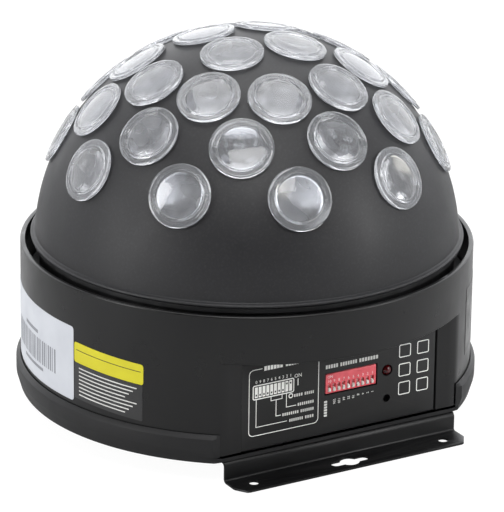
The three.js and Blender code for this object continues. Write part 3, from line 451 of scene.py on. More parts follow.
dressed(
    "dome_plastic", rgb(30, 30, 32), 0.5,
    [((14, 5, 0.6), rgb(25, 25, 27), 0.35, 0.7), ((900, 2), rgb(42, 42, 45), 0.5, 0.9)],
    ((35, 4), 0.45, 0.56), [((1900, 2), 0.22, 0.00004), ((90, 3), 0.08, 0.0003)],
    Specular_IOR_Level=0.38)
dressed(
    "clear_lens", rgb(236, 238, 242), 0.03, (), ((240, 3), 0.01, 0.05), [((330, 3, 0.6), 0.3, 0.00022)],
    IOR=1.46, Specular_IOR_Level=0.22, Transmission_Weight=0.9)
dressed(
    "switch_red", rgb(238, 98, 108), 0.36, [((300, 3), rgb(222, 80, 90), 0.4, 0.7)], None,
    [((2400, 2), 0.2, 0.00002)])
dressed(
    "lever_white", rgb(236, 233, 226), 0.4, [((500, 2), rgb(214, 206, 196), 0.45, 0.8)], None,
    [((2600, 2), 0.15, 0.00002)])
dressed(
    "lamp_red", rgb(96, 8, 14), 0.12, [((700, 2), rgb(60, 4, 8), 0.4, 0.7)],
    IOR=1.5, Transmission_Weight=0.35)

# The frosted back of a lens lets light through in soft streaks
made = dressed(
    "lens_window", rgb(162, 163, 168), 0.16, [((31, 2), rgb(144, 145, 149), 0.45, 0.6)],
    ((44, 3), 0.1, 0.3), [((130, 2), 0.3, 0.0004)], IOR=1.5, Specular_IOR_Level=0.3)
clarity = made.ramp(made.noise(15, 2, 0.55, (1, 1, 1.7)), 0.3, 0.92, 0.38, 0.6)
made.link(clarity, made.shader.inputs["Transmission Weight"])

made = Build("circuit_board", rgb(28, 84, 52), 0.38)
sockets = {"Vector": made.place, "Scale": 260}
tracks = made.node("ShaderNodeTexVoronoi", sockets, distance="CHEBYCHEV").outputs["Distance"]
made.tint(tracks, rgb(44, 118, 72), 0.3, 0.45)
made.bump(tracks, 0.1, 0.00004)

# Moulded plastic, print and labels: the colour, the one mixed into it, and the roughness
for name, colour, other, roughness in (
    ("black_plastic", (26, 26, 27), (38, 38, 40), 0.45),
    ("white_nylon", (222, 218, 205), (206, 200, 184), 0.5),
    ("transformer_tape", (205, 170, 60), (186, 150, 46), 0.35),
    ("switch_pale", (252, 226, 226), (246, 208, 210), 0.45),
    ("print_white", (246, 246, 242), (232, 232, 228), 0.55),
    ("print_grey", (214, 214, 211), (198, 198, 195), 0.55),
    ("print_pink", (252, 232, 232), (246, 214, 214), 0.5),
    ("label_white", (196, 199, 205), (186, 189, 196), 0.4),
    ("label_yellow", (204, 196, 20), (192, 182, 12), 0.4),
    ("label_black", (36, 36, 37), (42, 42, 43), 0.35),
    ("label_clear", (58, 58, 58), (70, 70, 70), 0.34),
    ("label_ink", (132, 134, 140), (118, 120, 126), 0.5),
    ("label_rule", (96, 90, 24), (80, 76, 20), 0.5),
):
    dressed(name, rgb(*colour), roughness, [((60, 4), rgb(*other), 0.4, 0.75)],
            ((150, 2), roughness - 0.06, roughness + 0.08), [((2200, 2), 0.25, 0.00003)])

metal("zinc_steel", rgb(196, 198, 202), rgb(176, 180, 188), 0.34)
metal("aluminium_fins", rgb(214, 216, 219), rgb(196, 198, 203), 0.4, (1, 1, 12), 200)
metal("brass", rgb(206, 170, 92), rgb(186, 150, 76), 0.3)

for part in frame["record"]["subparts"]:
    obj = frame["nodes"][part["node"]]
    obj.data.materials.clear()
    obj.data.materials.append(LOOKS[part["material_slot"]])


# Drum and pan: rings of columns whose radius follows the circle or the flats
RING_STEP = 2.0
ON_FLAT = 0.01


def ring_angles(corners):
    angles = [i * RING_STEP for i in range(round(360 / RING_STEP))]
    for a in corners:
        angles = [b for b in angles if abs(b - a) > RING_STEP * 0.3] + [a]
    return sorted(angles)


def quarters(a):
    return [a, 180 - a, 180 + a, 360 - a]


def corner_angles(*pairs):
    return [a for radius, flat in pairs for a in quarters(degrees(asin(flat / radius)))]


def flat_radius(radius, flat, angle):
    s = abs(sin(radians(angle)))
    return min(radius, flat / s) if s > 1e-9 else radius


def flat_columns(bm, rows, angles):
    """Adds columns of vertices from rows of (radius, flat, height); flat is 0 where the row stays round.

    A flat below 0 draws the row in by that much over the flats alone.
    """
    columns = []
    for a in angles:
        c, s = cos(radians(a)), sin(radians(a))
        column = []
        for radius, flat, z in rows:
            r = flat_radius(radius, flat, a) if flat > 0 else radius
            if flat < 0 and flat_radius(radius, FLAT, a) < radius - ON_FLAT:
                r = radius + flat
            column.append(bm.verts.new((r * c * MM, r * s * MM, z * MM)))
        columns.append(column)
    return columns


def in_window(a, b):
    if b < a:
        b += 360
    middle = radians((a + b) / 2)
    return abs(cos(middle)) * FLAT < abs(sin(middle)) * WINDOW


INNER_FLAT = FLAT - FLAT_WALL
LOW_FLAT = FLAT - LOW_RECESS
RECESS_STEP = 0.05
WINDOW_HEAD = 0.3
LEDGE_ROUND = 0.25
RIM_ROUND = 0.8
RIM_INNER_ROUND = 0.4


def make_drum():
    rim = arc(DRUM_R - RIM_ROUND, RIM - RIM_ROUND, RIM_ROUND, 12, 90, 6)
    rim += arc(DRUM_INNER + RIM_INNER_ROUND, RIM - RIM_INNER_ROUND, RIM_INNER_ROUND, 100, 180, 4)
    rows = [
        (DRUM_R, LOW_FLAT, DRUM_LOW), (DRUM_R, LOW_FLAT, WINDOW_LOW - RECESS_STEP), (DRUM_R, FLAT, WINDOW_LOW),
        (DRUM_R, FLAT, LEDGE - WINDOW_HEAD), (DRUM_R, FLAT, LEDGE), (DRUM_R, -LEDGE_ROUND, LEDGE),
        (DRUM_R, 0, LEDGE + LEDGE_ROUND), (DRUM_R, 0, RIM - RIM_ROUND), *[(r, 0, z) for r, z in rim],
        (DRUM_INNER, 0, LEDGE + FLAT_WALL), (DRUM_INNER, INNER_FLAT, LEDGE + FLAT_WALL),
        (DRUM_INNER, INNER_FLAT, LEDGE), (DRUM_INNER, INNER_FLAT, WINDOW_LOW), (DRUM_INNER, INNER_FLAT, DRUM_LOW),
    ]
    sill, head, ledge, inner_ledge, inner_sill = 2, 3, 4, len(rows) - 3, len(rows) - 2
    corners = corner_angles((DRUM_R, FLAT), (DRUM_R, LOW_FLAT), (DRUM_INNER, INNER_FLAT))
    angles = ring_angles(corners + quarters(degrees(atan2(FLAT, WINDOW))))
    window = [in_window(a, b) for a, b in zip(angles, angles[1:] + angles[:1])]
    bm = bmesh.new()
    columns = flat_columns(bm, rows, angles)
    join(bm, columns, skip=lambda i, j: window[i] and j in (sill, head, inner_ledge))
    for i, column in enumerate(columns):
        following = columns[(i + 1) % len(columns)]
        if window[i] != window[i - 1]:
            bm.faces.new((column[sill], column[head], column[inner_ledge], column[inner_sill]))
            bm.faces.new((column[head], column[ledge], column[inner_ledge]))
        if window[i]:
            bm.faces.new((column[sill], following[sill], following[inner_sill], column[inner_sill]))
            bm.faces.new((column[ledge], following[ledge], following[inner_ledge], column[inner_ledge]))
    piece("drum_casing", weld(bm, 2e-6), "drum_coat", "drum_shell", sharp=24)


make_drum()

# Pan: a tray cut by the flats, with a band that rises outside the round sides of the drum
PAN_SEAT = DRUM_R + 0.3
PAN_UPSTAND = 13.2
BAND_R = 108.6
BAND_FOOT_R = 107.72
PAN_LOWER = [(106.45, PAN_LOW), (106.75, PAN_LOW + 0.12), (106.95, PAN_LOW + 0.5), (107.4, 12.1),
             (BAND_FOOT_R, PAN_UPSTAND)]
PAN_BAND = [(BAND_FOOT_R, PAN_UPSTAND), (108.45, 15.8), (108.56, 16.1), (BAND_R, 16.5), (BAND_R, 21.9),
            (108.52, 22.2), (108.35, 22.45), (107.0, 23.8), (106.8, 23.97), (106.62, 24.05), (PAN_SEAT, 24.0),
            (PAN_SEAT, PAN_UPSTAND)]
BAND_END = 0.05
VENT_COUNT = 7
VENT_PITCH = 9.0
VENT_WIDTH = 4.0
VENT_LENGTH = 46.0
VENT_ROUND = 1.9
FOOT_SCREW_X = 42.0
FOOT_SCREW_Y = 72.9
FOOT_SCREW_HOLE = 2.1
FOOT_SCREWS = [(end * FOOT_SCREW_X, side * FOOT_SCREW_Y) for side in (-1, 1) for end in (-1, 1)]
BOARD_POSTS = [(x, y) for x in (-58.0, 44.0) for y in (-42.0, 8.0)]
BOARD_POST_R = 3.0
BOARD_POST_TOP = 17.5
PAST = 2.0


def make_pan():
    rows = [(r, LOW_FLAT, z) for r, z in PAN_LOWER]
    rows += [(PAN_SEAT, INNER_FLAT, PAN_UPSTAND), (PAN_SEAT, INNER_FLAT, PAN_FLOOR)]
    rows += [(0, 0, PAN_FLOOR), (0, 0, PAN_LOW)]
    corners = corner_angles((PAN_LOWER[0][0], LOW_FLAT), (BAND_FOOT_R, LOW_FLAT), (PAN_SEAT, INNER_FLAT))
    bm = bmesh.new()
    join(bm, flat_columns(bm, rows, ring_angles(corners)))
    weld(bm, 1e-6)
    cutter = bmesh.new()
    through = (PAN_LOW - PAST, PAN_FLOOR + PAST)
    half = VENT_LENGTH / 2
    for i in range(VENT_COUNT):
        left, right = span((i - (VENT_COUNT - 1) / 2) * VENT_PITCH, VENT_WIDTH / 2)
        corners = [(left, -half), (right, -half), (right, half), (left, half)]
        prism(cutter, rounded(corners, [VENT_ROUND] * 4), *through)
    for x, y in FOOT_SCREWS:
        prism(cutter, circle(x, y, FOOT_SCREW_HOLE, 16), *through)
    bm = cut(bm, cutter)
    end = degrees(asin(FLAT / PAN_SEAT)) - BAND_END
    corner = degrees(asin(FLAT / BAND_R))
    stops = [i * RING_STEP for i in range(int(corner / RING_STEP) + 1)] + [corner, (corner + end) / 2, end]
    for middle in (0, 180):
        angles = [middle - a for a in stops[:0:-1]] + [middle + a for a in stops]
        columns = flat_columns(bm, [(r, FLAT, z) for r, z in PAN_BAND], angles)
        join(bm, columns, around=False)
        bm.faces.new(columns[0][::-1])
        bm.faces.new(columns[-1])
    for x, y in BOARD_POSTS:
        prism(bm, circle(x, y, BOARD_POST_R, 24), PAN_FLOOR + HAIR, BOARD_POST_TOP)
    piece("base_tray", bm, "drum_coat", "base_pan", "pan_coat", sharp=18)


make_pan()

# Brackets: sheet bent in a Z, with rounded edges, chamfered foot corners, two screw holes and a double keyhole
BRACKET_HALF = 61.5
BRACKET_SHEET = 1.0
BRACKET_SHIFT = 1.2
BRACKET_REACH = 14.5
BRACKET_TUCK = 25.0
BRACKET_EDGE = 0.2
BEND_OUT = 2.5
BEND_IN = 1.0
FOOT_HOLE_X = 50.6
FOOT_HOLE_SETBACK = 7.1
FOOT_HOLE_R = 2.4
KEY_R = 4.6
KEY_SLOT_HALF = 7.3
KEY_SLOT_R = 2.4
# What is cut off a foot corner, as (inward from the bracket's end, back from its edge)
FOOT_CORNER = ((-2, 6.4), (-0.01, 6.4), (0.35, 5.4), (3.6, 0.5), (5.0, -0.01), (5.0, -2), (-2, -2))


def bracket_outline():
    edge, tuck = -FLAT - BRACKET_REACH, -FLAT + BRACKET_TUCK
    upper = (-FLAT + BEND_OUT, PAN_LOW - BEND_OUT)
    lower = (-FLAT - BEND_IN, BRACKET_SHEET + BEND_IN)
    return ([(tuck, PAN_LOW)] + arc(*upper, BEND_OUT, 90, 180, 8) + arc(*lower, BEND_IN, 0, -90, 6)
            + [(edge, BRACKET_SHEET), (edge, 0)] + arc(*lower, BEND_IN + BRACKET_SHEET, -90, 0, 8)
            + arc(*upper, BEND_OUT - BRACKET_SHEET, 180, 90, 6) + [(tuck, PAN_LOW - BRACKET_SHEET)])


def bracket_solid():
    edge = -FLAT - BRACKET_REACH
    y = edge + FOOT_HOLE_SETBACK
    foot = (-1, BRACKET_SHEET + 1)
    key = arc(KEY_SLOT_HALF, y, KEY_SLOT_R, -90, 90, 8)
    slot = [(BRACKET_SHIFT + x, z) for x, z in key] + [(BRACKET_SHIFT - x, z) for x, z in reversed(key)]
    bm = new(prism, bracket_outline(), *span(BRACKET_SHIFT, BRACKET_HALF), ALONG_X)
    bm = cut(bm, new(prism, slot, *foot))
    cutter = new(prism, circle(BRACKET_SHIFT, y, KEY_R, 36), *foot)
    for end in (-1, 1):
        prism(cutter, circle(BRACKET_SHIFT + end * FOOT_HOLE_X, y, FOOT_HOLE_R, 24), *foot)
        corner = BRACKET_SHIFT + end * BRACKET_HALF
        prism(cutter, [(corner - end * inward, edge + back) for inward, back in FOOT_CORNER][::end], *foot)
        prism(cutter, circle(end * FOOT_SCREW_X, -FOOT_SCREW_Y, FOOT_SCREW_HOLE, 16),
              PAN_LOW - BRACKET_SHEET - 1, PAN_LOW + 1)
    return cut(bm, cutter)


def make_brackets():
    for name, node, angle in (("front_foot", "front_bracket", 0), ("rear_foot", "rear_bracket", 180)):
        bm = edge_bevel(bracket_solid(), BRACKET_EDGE)
        bm.transform(rotation(angle, "Z"))
        piece(name, weld(bm), "bracket_coat", node)


make_brackets()

# Switch panel and what it carries
PANEL_LEFT = -WINDOW + 0.04
PANEL_RIGHT = WINDOW - 1.2
PANEL_BACK = FLAT - FLAT_WALL - 0.3
PANEL_Z = (13.8, 57.9)
PANEL_EDGE = 0.2
FLANGE_WIDE = WINDOW + 3.5
FLANGE_THICK = 1.2
FLANGE_GAP = 0.4
SWITCH_X = 5.65
SWITCH_Z = 37.71
SWITCH_WIDTH = 27.0
SWITCH_HEIGHT = 9.6
SWITCH_CLEARANCE = 0.5
SWITCH_FACE = FLAT - 0.2
SWITCH_EDGE = 0.35
LEVERS = 10
LEVER_PITCH = 2.54
LEVER_XS = [SWITCH_X + (i - (LEVERS - 1) / 2) * LEVER_PITCH for i in range(LEVERS)]
SLOT_LOW = SWITCH_Z - SWITCH_HEIGHT / 2 + 0.6
SLOT_HIGH = SLOT_LOW + 4.0
SLOT_HALF = 0.85
SLOT_BACK = SWITCH_FACE - 1.4
SLOT_EDGE = 0.12
SLOT_FLOOR_INSET = 0.1
SLIDER_REST = SLOT_LOW + 0.25
SLIDER_Y = (-FLAT - 0.25, -SLOT_BACK - 0.25)
SLIDER_TALL = 1.9
SLIDER_NOSE = 1.15
SLIDER_NOSE_DEPTH = 0.55
SLIDER_HALF = 0.6
SLIDER_EDGE = 0.1
LAMP_X, LAMP_Z = 25.0, 38.4
LAMP_R = 2.4
LAMP_COLLAR_R = 2.5
LAMP_PROUD = 1.1
LAMP_HOLE = 2.8
MIC_X, MIC_Z = 25.0, 24.6
MIC_HOLE = 1.9
BOSSES = [(x, z) for z in (22.2, 45.8) for x in (-11.8, 31.8)]
BOSS_R = 2.2
BOSS_LONG = 2.9
BOSS_REACH = 4.2


def make_switch_panel():
    hole_x = span(SWITCH_X, SWITCH_WIDTH / 2 + SWITCH_CLEARANCE)
    hole_z = span(SWITCH_Z, SWITCH_HEIGHT / 2 + SWITCH_CLEARANCE)
    bm = new(box, (PANEL_LEFT, PANEL_RIGHT), (-FLAT, -PANEL_BACK), PANEL_Z, PANEL_EDGE)
    cutter = new(box, hole_x, (-FLAT - PAST, -PANEL_BACK + PAST), hole_z)
    for x, z, r, sides in ((LAMP_X, LAMP_Z, LAMP_HOLE, 40), (MIC_X, MIC_Z, MIC_HOLE, 32)):
        lathe(cutter, [(0, 80), (r, 80), (r, 90), (0, 90)], sides, stand_out(FRONT, x, z))
    bm = cut(bm, weld(cutter))
    left, right = hole_x[0] - FLANGE_GAP, hole_x[1] + FLANGE_GAP
    low, high = hole_z[0] - FLANGE_GAP, hole_z[1] + FLANGE_GAP
    y = (-PANEL_BACK + HAIR, -PANEL_BACK + FLANGE_THICK)
    box(bm, (-FLANGE_WIDE, left), y, PANEL_Z)
    box(bm, (left + HAIR, right - HAIR), y, (high, PANEL_Z[1]))
    box(bm, (left + HAIR, right - HAIR), y, (PANEL_Z[0], low))
    box(bm, (LAMP_X + 3.4, FLANGE_WIDE), y, PANEL_Z)
    for x, z in BOSSES:
        lathe(bm, [(0, 0), (BOSS_R, 0), (BOSS_R, BOSS_LONG), (0, BOSS_LONG)], 24,
              stand_out(FRONT, x, z, -PANEL_BACK + BOSS_REACH))
    piece("switch_panel", bm, "panel_coat", "control_panel")


def make_switch():
    x, z = span(SWITCH_X, SWITCH_WIDTH / 2), span(SWITCH_Z, SWITCH_HEIGHT / 2)
    bm = new(box, x, (-SWITCH_FACE, -BOARD_FACE), z, SWITCH_EDGE, 3)
    cutter = bmesh.new()
    floors = bmesh.new()
    for x in LEVER_XS:
        box(cutter, span(x, SLOT_HALF), (-FLAT - PAST, -SLOT_BACK), (SLOT_LOW, SLOT_HIGH), SLOT_EDGE, 1)
        box(floors, span(x, SLOT_HALF - SLOT_FLOOR_INSET), (-SLOT_BACK - 0.1, -SLOT_BACK - HAIR),
            (SLOT_LOW + SLOT_FLOOR_INSET, SLOT_HIGH - SLOT_FLOOR_INSET))
    piece("switch_case", cut(bm, cutter), "switch_red", "address_switch_body")
    piece("switch_slot_floors", weld(floors), "switch_red", look="switch_pale")
    front, back = SLIDER_Y
    top = SLIDER_REST + SLIDER_TALL
    corners = [(front, SLIDER_REST), (front, SLIDER_REST + SLIDER_NOSE), (front + SLIDER_NOSE_DEPTH, top),
               (back, top), (back, SLIDER_REST)]
    outline = rounded(corners, [0.25, 0.3, 0.3, 0, 0], 3)
    for i, x in enumerate(LEVER_XS):
        bm = new(prism, outline, *span(x, SLIDER_HALF), ALONG_X)
        number = "%02d" % (i + 1)
        piece("switch_slider_" + number, weld(edge_bevel(bm, SLIDER_EDGE)), "lever_white",
              "switch_lever_" + number, body="lever_" + number)


def make_lamp():
    tip = FLAT + LAMP_PROUD
    collar = BOARD_FACE + 1.0
    profile = [(0, BOARD_FACE), (LAMP_COLLAR_R, BOARD_FACE), (LAMP_COLLAR_R, collar), (LAMP_R, collar)]
    profile += arc(0, tip - LAMP_R, LAMP_R, 0, 90, 10)[:-1] + [(0, tip)]
    bm = new(lathe, profile, 40, stand_out(FRONT, LAMP_X, LAMP_Z), closed=False)
    piece("status_light", weld(bm), "lamp_red", "status_lamp")


make_switch_panel()
make_switch()
make_lamp()

# Print on the switch panel, as thin raised ink: the numbers at the switch are kept, and plain marks stand
# where the real panel has words and icons
INK_FACE = FLAT + 0.045
INK_BACK = FLAT + 0.015
INK_MIDDLE = 0.03
LINE = 0.32
FRAME_X = (-48.3, -11.6)
FRAME_Z = (19.9, 52.3)
FRAME_ROUND = 2.4
TITLE_X = (-40.4, -19.2)
TITLE_Z = (50.9, 53.0)
TITLE_WORDS = ((TITLE_X[0], -30.8), (-29.2, TITLE_X[1]))
DIAGRAM_X = (-46.3, -24.6)
DIAGRAM_Z = (37.5, 44.6)
DIAGRAM_PITCH = 1.99
DIAGRAM_CELL = 0.76
DIAGRAM_HOLE = (0.39, 0.45)
DIAGRAM_ON = 8
BOLD = 0.5
# Lines under the diagram: uprights as (x, top, bottom, right end of the level line), and the two of a brace
UNDER = DIAGRAM_Z[0] - LINE / 2
BRACE_X = (-36.7, -30.9)
BRACE_Z = 35.6
LEADERS = ((-44.4, UNDER, 24.1, -28.2), (-34.0, BRACE_Z - LINE, 27.6, -31.4), (-28.6, UNDER, 30.9, -23.4))
ICON_X = (34.4, 44.2)
ICON_Z = (46.4, 37.0, 27.9)
ICON_HALF = 3.2
# Words as (height, runs from left to right)
WORDS = ((35.0, ((-24.6, -20.2), (-19.0, -14.2))), (30.3, ((-22.6, -14.2),)),
         (26.8, ((-30.6, -22.2), (-21.0, -14.2))), (23.3, ((-26.9, -19.8), (-18.6, -14.2))))
WORD_HEIGHT = 1.4
SWITCH_WORDS = ((-8.0, -1.6), (-0.3, 8.5), (9.8, 19.8))
SIDE_MARKS = 6
SIDE_MARK_X = (-8.6, -7.0)
SIDE_MARK_Z = 22.0
SIDE_MARK_PITCH = 1.34


def ink(bm, x, z):
    box(bm, x, (-INK_FACE, -INK_BACK), z)


def ink_frame(bm, x, z, radius, width, open_top=False):
    """Adds a rounded rectangular line, without its top stroke where that is left open."""
    loops = []
    for inset in (0, width):
        left, right, low, high = x[0] + inset, x[1] - inset, z[0] + inset, z[1] - inset
        loops.append(rounded([(left, low), (right, low), (right, high), (left, high)], [radius - inset] * 4, 5))
    rings = [[bm.verts.new(mm(px, -y, pz)) for px, pz in loop] for y in (INK_FACE, INK_BACK) for loop in loops]
    n = len(loops[0])
    gap = n - n // 4 - 1 if open_top else None
    for a, b in ((0, 1), (1, 3), (3, 2), (2, 0)):
        for i in range(n):
            j = (i + 1) % n
            if i != gap:
                bm.faces.new((rings[a][i], rings[a][j], rings[b][j], rings[b][i]))
    if open_top:
        for i in (gap, gap + 1):
            bm.faces.new((rings[0][i], rings[1][i], rings[3][i], rings[2][i]))


def ink_upright(bm, x, top, bottom):
    ink(bm, span(x, LINE / 2), (bottom - LINE / 2, top + LINE / 2))


def ink_words(bm, text, x, z, height, face=FLAT, spin=0):
    """Adds numbers or letters from the built-in font, centred on a place, or hung down from it when spun."""
    curve = bpy.data.curves.new("scratch", "FONT")
    curve.body = text
    curve.align_x = "LEFT" if spin else "CENTER"
    curve.size = height / 0.72 * MM
    curve.extrude = 0.015 * MM
    curve.resolution_u = 3
    mesh = applied(add_object("scratch", curve))
    mesh.transform(stand_out(FRONT, x, z, -face - INK_MIDDLE) @ rotation(spin, "Z"))
    add_mesh(bm, mesh)


def ink_dashes(bm, runs, z, pitch, gap):
    """Adds rows of short upright blocks, each where the real panel has a word."""
    for left, right in runs:
        count = max(2, round((right - left) / pitch))
        step = (right - left + gap) / count
        for k in range(count):
            x = left + k * step
            ink(bm, (x, x + step - gap), z)


def ink_diagram(bm):
    """Adds the small picture of the switch, with a number over each lever."""
    ink_frame(bm, DIAGRAM_X, DIAGRAM_Z, 1.0, BOLD)
    low, high = DIAGRAM_Z[0] + 1.0, DIAGRAM_Z[1] - 1.0
    half, tall = DIAGRAM_HOLE
    for i in range(LEVERS):
        x = sum(DIAGRAM_X) / 2 + (i - (LEVERS - 1) / 2) * DIAGRAM_PITCH
        hole = low + 1.15 if i < DIAGRAM_ON else high - 1.15
        ink(bm, (x - DIAGRAM_CELL, x - half - HAIR), (low, high))
        ink(bm, (x + half + HAIR, x + DIAGRAM_CELL), (low, high))
        ink(bm, span(x, half), (low, hole - tall))
        ink(bm, span(x, half), (hole + tall, high))
        ink_words(bm, str((LEVERS - i) % 10), x, DIAGRAM_Z[1] + 0.75, 1.45)
    ink_words(bm, "ON", -22.6, 44.4, 1.8)
    ink(bm, (-22.85, -22.4), (40.4, 43.7))


def make_print():
    bm = bmesh.new()
    ink_frame(bm, FRAME_X, FRAME_Z, FRAME_ROUND, LINE, True)
    top, end = (FRAME_Z[1] - LINE, FRAME_Z[1]), FRAME_ROUND + 0.02
    ink(bm, (FRAME_X[0] + end, TITLE_X[0] - 1.0), top)
    ink(bm, (TITLE_X[1] + 1.0, FRAME_X[1] - end), top)
    ink_diagram(bm)
    half = LINE / 2
    for x, top, z, end in LEADERS:
        ink_upright(bm, x, top, z)
        ink(bm, (x + half + HAIR, end), span(z, half))
    for x in BRACE_X:
        ink_upright(bm, x, UNDER, BRACE_Z)
    ink(bm, (BRACE_X[0] + half + HAIR, BRACE_X[1] - half - HAIR), span(BRACE_Z, half))
    ink_frame(bm, (-27.5, -25.1), (34.8, 37.2), 1.1, BOLD)
    for i, x in enumerate(LEVER_XS[:0:-1]):
        ink_words(bm, str(2 ** i), x - 0.5, 29.9, 1.25, spin=-90)
    for x in ICON_X:
        for z in ICON_Z:
            ink_frame(bm, span(x, ICON_HALF), span(z, ICON_HALF), 0.9, 0.45)
    ink_dashes(bm, TITLE_WORDS, TITLE_Z, 1.5, 0.34)
    piece("panel_lines", bm, "panel_coat", look="print_white")
    bm = bmesh.new()
    for low, runs in WORDS:
        ink_dashes(bm, runs, (low, low + WORD_HEIGHT), 1.0, 0.42)
    ink_dashes(bm, SWITCH_WORDS, (45.3, 47.1), 1.35, 0.42)
    for k in range(SIDE_MARKS):
        z = SIDE_MARK_Z + SIDE_MARK_PITCH * k
        ink(bm, SIDE_MARK_X, (z, z + 1.0))
    piece("panel_marks", bm, "panel_coat", look="print_grey")
    bm = bmesh.new()
    for i, x in enumerate(LEVER_XS):
        ink_words(bm, str(LEVERS - i), x, SLOT_HIGH + 0.7, 1.35, SWITCH_FACE)
    ink_words(bm, "ON", SWITCH_X - SWITCH_WIDTH / 2 + 2.4, SLOT_HIGH + 2.9, 1.3, SWITCH_FACE)
    piece("switch_digits", bm, "switch_red", look="print_pink")


make_print()

# Plain labels, bent round the drum. Angles run from -Y towards +X, and heights are from the rim.
LABEL_R = DRUM_R + 0.02
LABEL_THICK = 0.12
LABEL_SLOPE = -0.049
MARK_R = LABEL_R + LABEL_THICK + HAIR
MARK_THICK = 0.02
BARS = 26
BAR_PITCH = 1.05
RULES = 8
RULE_PITCH = 1.85


def curved_plate(bm, start, end, low, high, corner=0, slope=0.0, mark=False):
    """Adds a bent plate, of a label's thickness or of a mark's on top of it."""
    r0, thick = (MARK_R, MARK_THICK) if mark else (LABEL_R, LABEL_THICK)
    radius = r0 * pi / 180
    width = (end - start) * radius
    distances = [corner * (1 - cos(radians(t))) for t in (0, 30, 50, 70, 90)] if corner else [0]
    steps = max(2, round((end - start) / 1.5))
    stops = distances + [corner + (width - 2 * corner) * i / steps for i in range(1, steps)]
    stops += [width - d for d in reversed(distances)]
    columns = []
    for u in stops:
        d = min(u, width - u)
        drop = corner - sqrt(max(corner ** 2 - (corner - d) ** 2, 0)) if d < corner else 0
        a = radians(-90 + start + u / radius)
        rise = RIM + slope * u
        columns.append([bm.verts.new((r * cos(a) * MM, r * sin(a) * MM, (z + rise) * MM))
                        for r in (r0, r0 + thick) for z in (low + drop, high - drop)])
    for left, right in zip(columns, columns[1:]):
        for a, b in ((0, 1), (1, 3), (3, 2), (2, 0)):
            bm.faces.new((left[a], left[b], right[b], right[a]))
    for column in (columns[0], columns[-1]):
        bm.faces.new((column[0], column[1], column[3], column[2]))


def make_labels():
    bars = [(-103.5, -94.5, -32.6, -30.9), (-104.5, -91.5, -49.6, -48.1)]
    for i in range(BARS):
        start = -112 + i * BAR_PITCH
        bars.append((start, start + (0.62 if i % 3 else 0.34), -46.4, -34.6))
    lines = []
    for i in range(RULES):
        low = -38.2 - i * RULE_PITCH
        lines.append((-75.6, -57.6 - (i * 5 % 4) * 1.1, low, low + 0.55))
    for name, look, plates, *shape in (
        ("label_pale", "label_white", [(-118, -77.6, -55, -19)], 1.6),
        ("label_bright", "label_yellow", [(-77.3, -55.8, -35.4, -25.6)], 1.2, LABEL_SLOPE),
        ("label_dark", "label_black", [(-77.3, -56.0, -53, -35.6)], 0.8, LABEL_SLOPE),
        ("label_thin", "label_clear", [(43.6, 62.0, -48, -14.7)], 1.2),
        ("label_bars", "label_ink", bars, 0, 0, True),
        ("label_rules", "label_rule", [(-76.6, -56.5, -29.5, -29.1)], 0, LABEL_SLOPE, True),
        ("label_lines", "print_grey", lines, 0, LABEL_SLOPE, True),
    ):
        bm = bmesh.new()
        for plate in plates:
            curved_plate(bm, *plate, *shape)
        piece(name, weld(bm), "drum_coat", look=look)


make_labels()

# Rear panel and its connectors, from -X to +X: round signal output, signal input, fuse, mains inlet
SIGNAL_OUT_X = -36.8
SIGNAL_IN_X = -9.6
FUSE_X = 11.4
INLET_X = 34.6
CONNECTOR_Z = 35.85
SIGNAL_FACE = FLAT + 2.6
SIGNAL_FLANGE = (12.8, 15.3)
SIGNAL_BARREL_R = 11.6
SIGNAL_BARREL_LONG = 18
SIGNAL_BORE_R = 9.6
SIGNAL_BORE_DEEP = 14
INSERT_R = 8.0
CONTACT_CIRCLE = 4.4
CONTACT_ANGLES = (180, 270, 0)
PIN_R = 1.2
PIN_HOLE_R = 1.5
LATCH_Z = 47.85
LATCH_Y = (87.75, 90.5)
LATCH_HALF = (3.5, 2)
LATCH_GAP = 0.35
INLET_FACE = FLAT + 2.4
INLET_FLANGE = (15, 11.5)
INLET_BODY = (13.2, 9.7)
INLET_BODY_DEEP = 20
INLET_DEEP = 15
INLET_OPENING = (11.3, 7.8)
INLET_CHAMFER = 4.0
INLET_PINS = ((-6.8, -2.4), (6.8, -2.4), (0, 2.4))
KNOB_R = 6.6
KNOB_TOP = FLAT + 5.5
KNOB_FLUTES = 24
KNOB_FLUTE = 0.22
KNOB_GRIP_ROWS = (2, 3, 4)
PANEL_HOLE_Y = (FLAT - 4, FLAT + 2)
CLEARANCE = 0.2
SOCKET_SCREW_PLACE = (10.2, 12.6)


def rod_y(bm, r, y0, y1, x, z, sides=48, bevel=0.0):
    """Adds a round bar along +Y with a rounded far end."""
    end = arc(r - bevel, y1 - bevel, bevel, 0, 90, 4) if bevel else [(r, y1)]
    lathe(bm, [(0, y0), (r, y0)] + end + [(0, y1)], sides, stand_out(REAR, x, z))


def connector_block(x, half, y, *edges):
    """A new block behind the rear panel, from its half width and half height."""
    return new(box, span(x, half[0]), y, span(CONNECTOR_Z, half[1]), *edges)


def connector_holes():
    bm = connector_block(INLET_X, [half + CLEARANCE for half in INLET_BODY], PANEL_HOLE_Y)
    rod_y(bm, 5.6, *PANEL_HOLE_Y, FUSE_X, CONNECTOR_Z)
    for x in (SIGNAL_OUT_X, SIGNAL_IN_X):
        rod_y(bm, SIGNAL_BARREL_R + CLEARANCE, *PANEL_HOLE_Y, x, CONNECTOR_Z)
    return weld(bm)


def make_socket_panel():
    pad = new(box, (-WINDOW + 0.3, PANEL_RIGHT), (PANEL_BACK, FLAT), PANEL_Z, PANEL_EDGE)
    plate = new(box, span(0, FLANGE_WIDE), (PANEL_BACK - FLANGE_THICK, PANEL_BACK - HAIR), PANEL_Z)
    bm = merged(cut(pad, connector_holes()), cut(plate, connector_holes()))
    piece("socket_panel", bm, "panel_coat", "rear_panel")


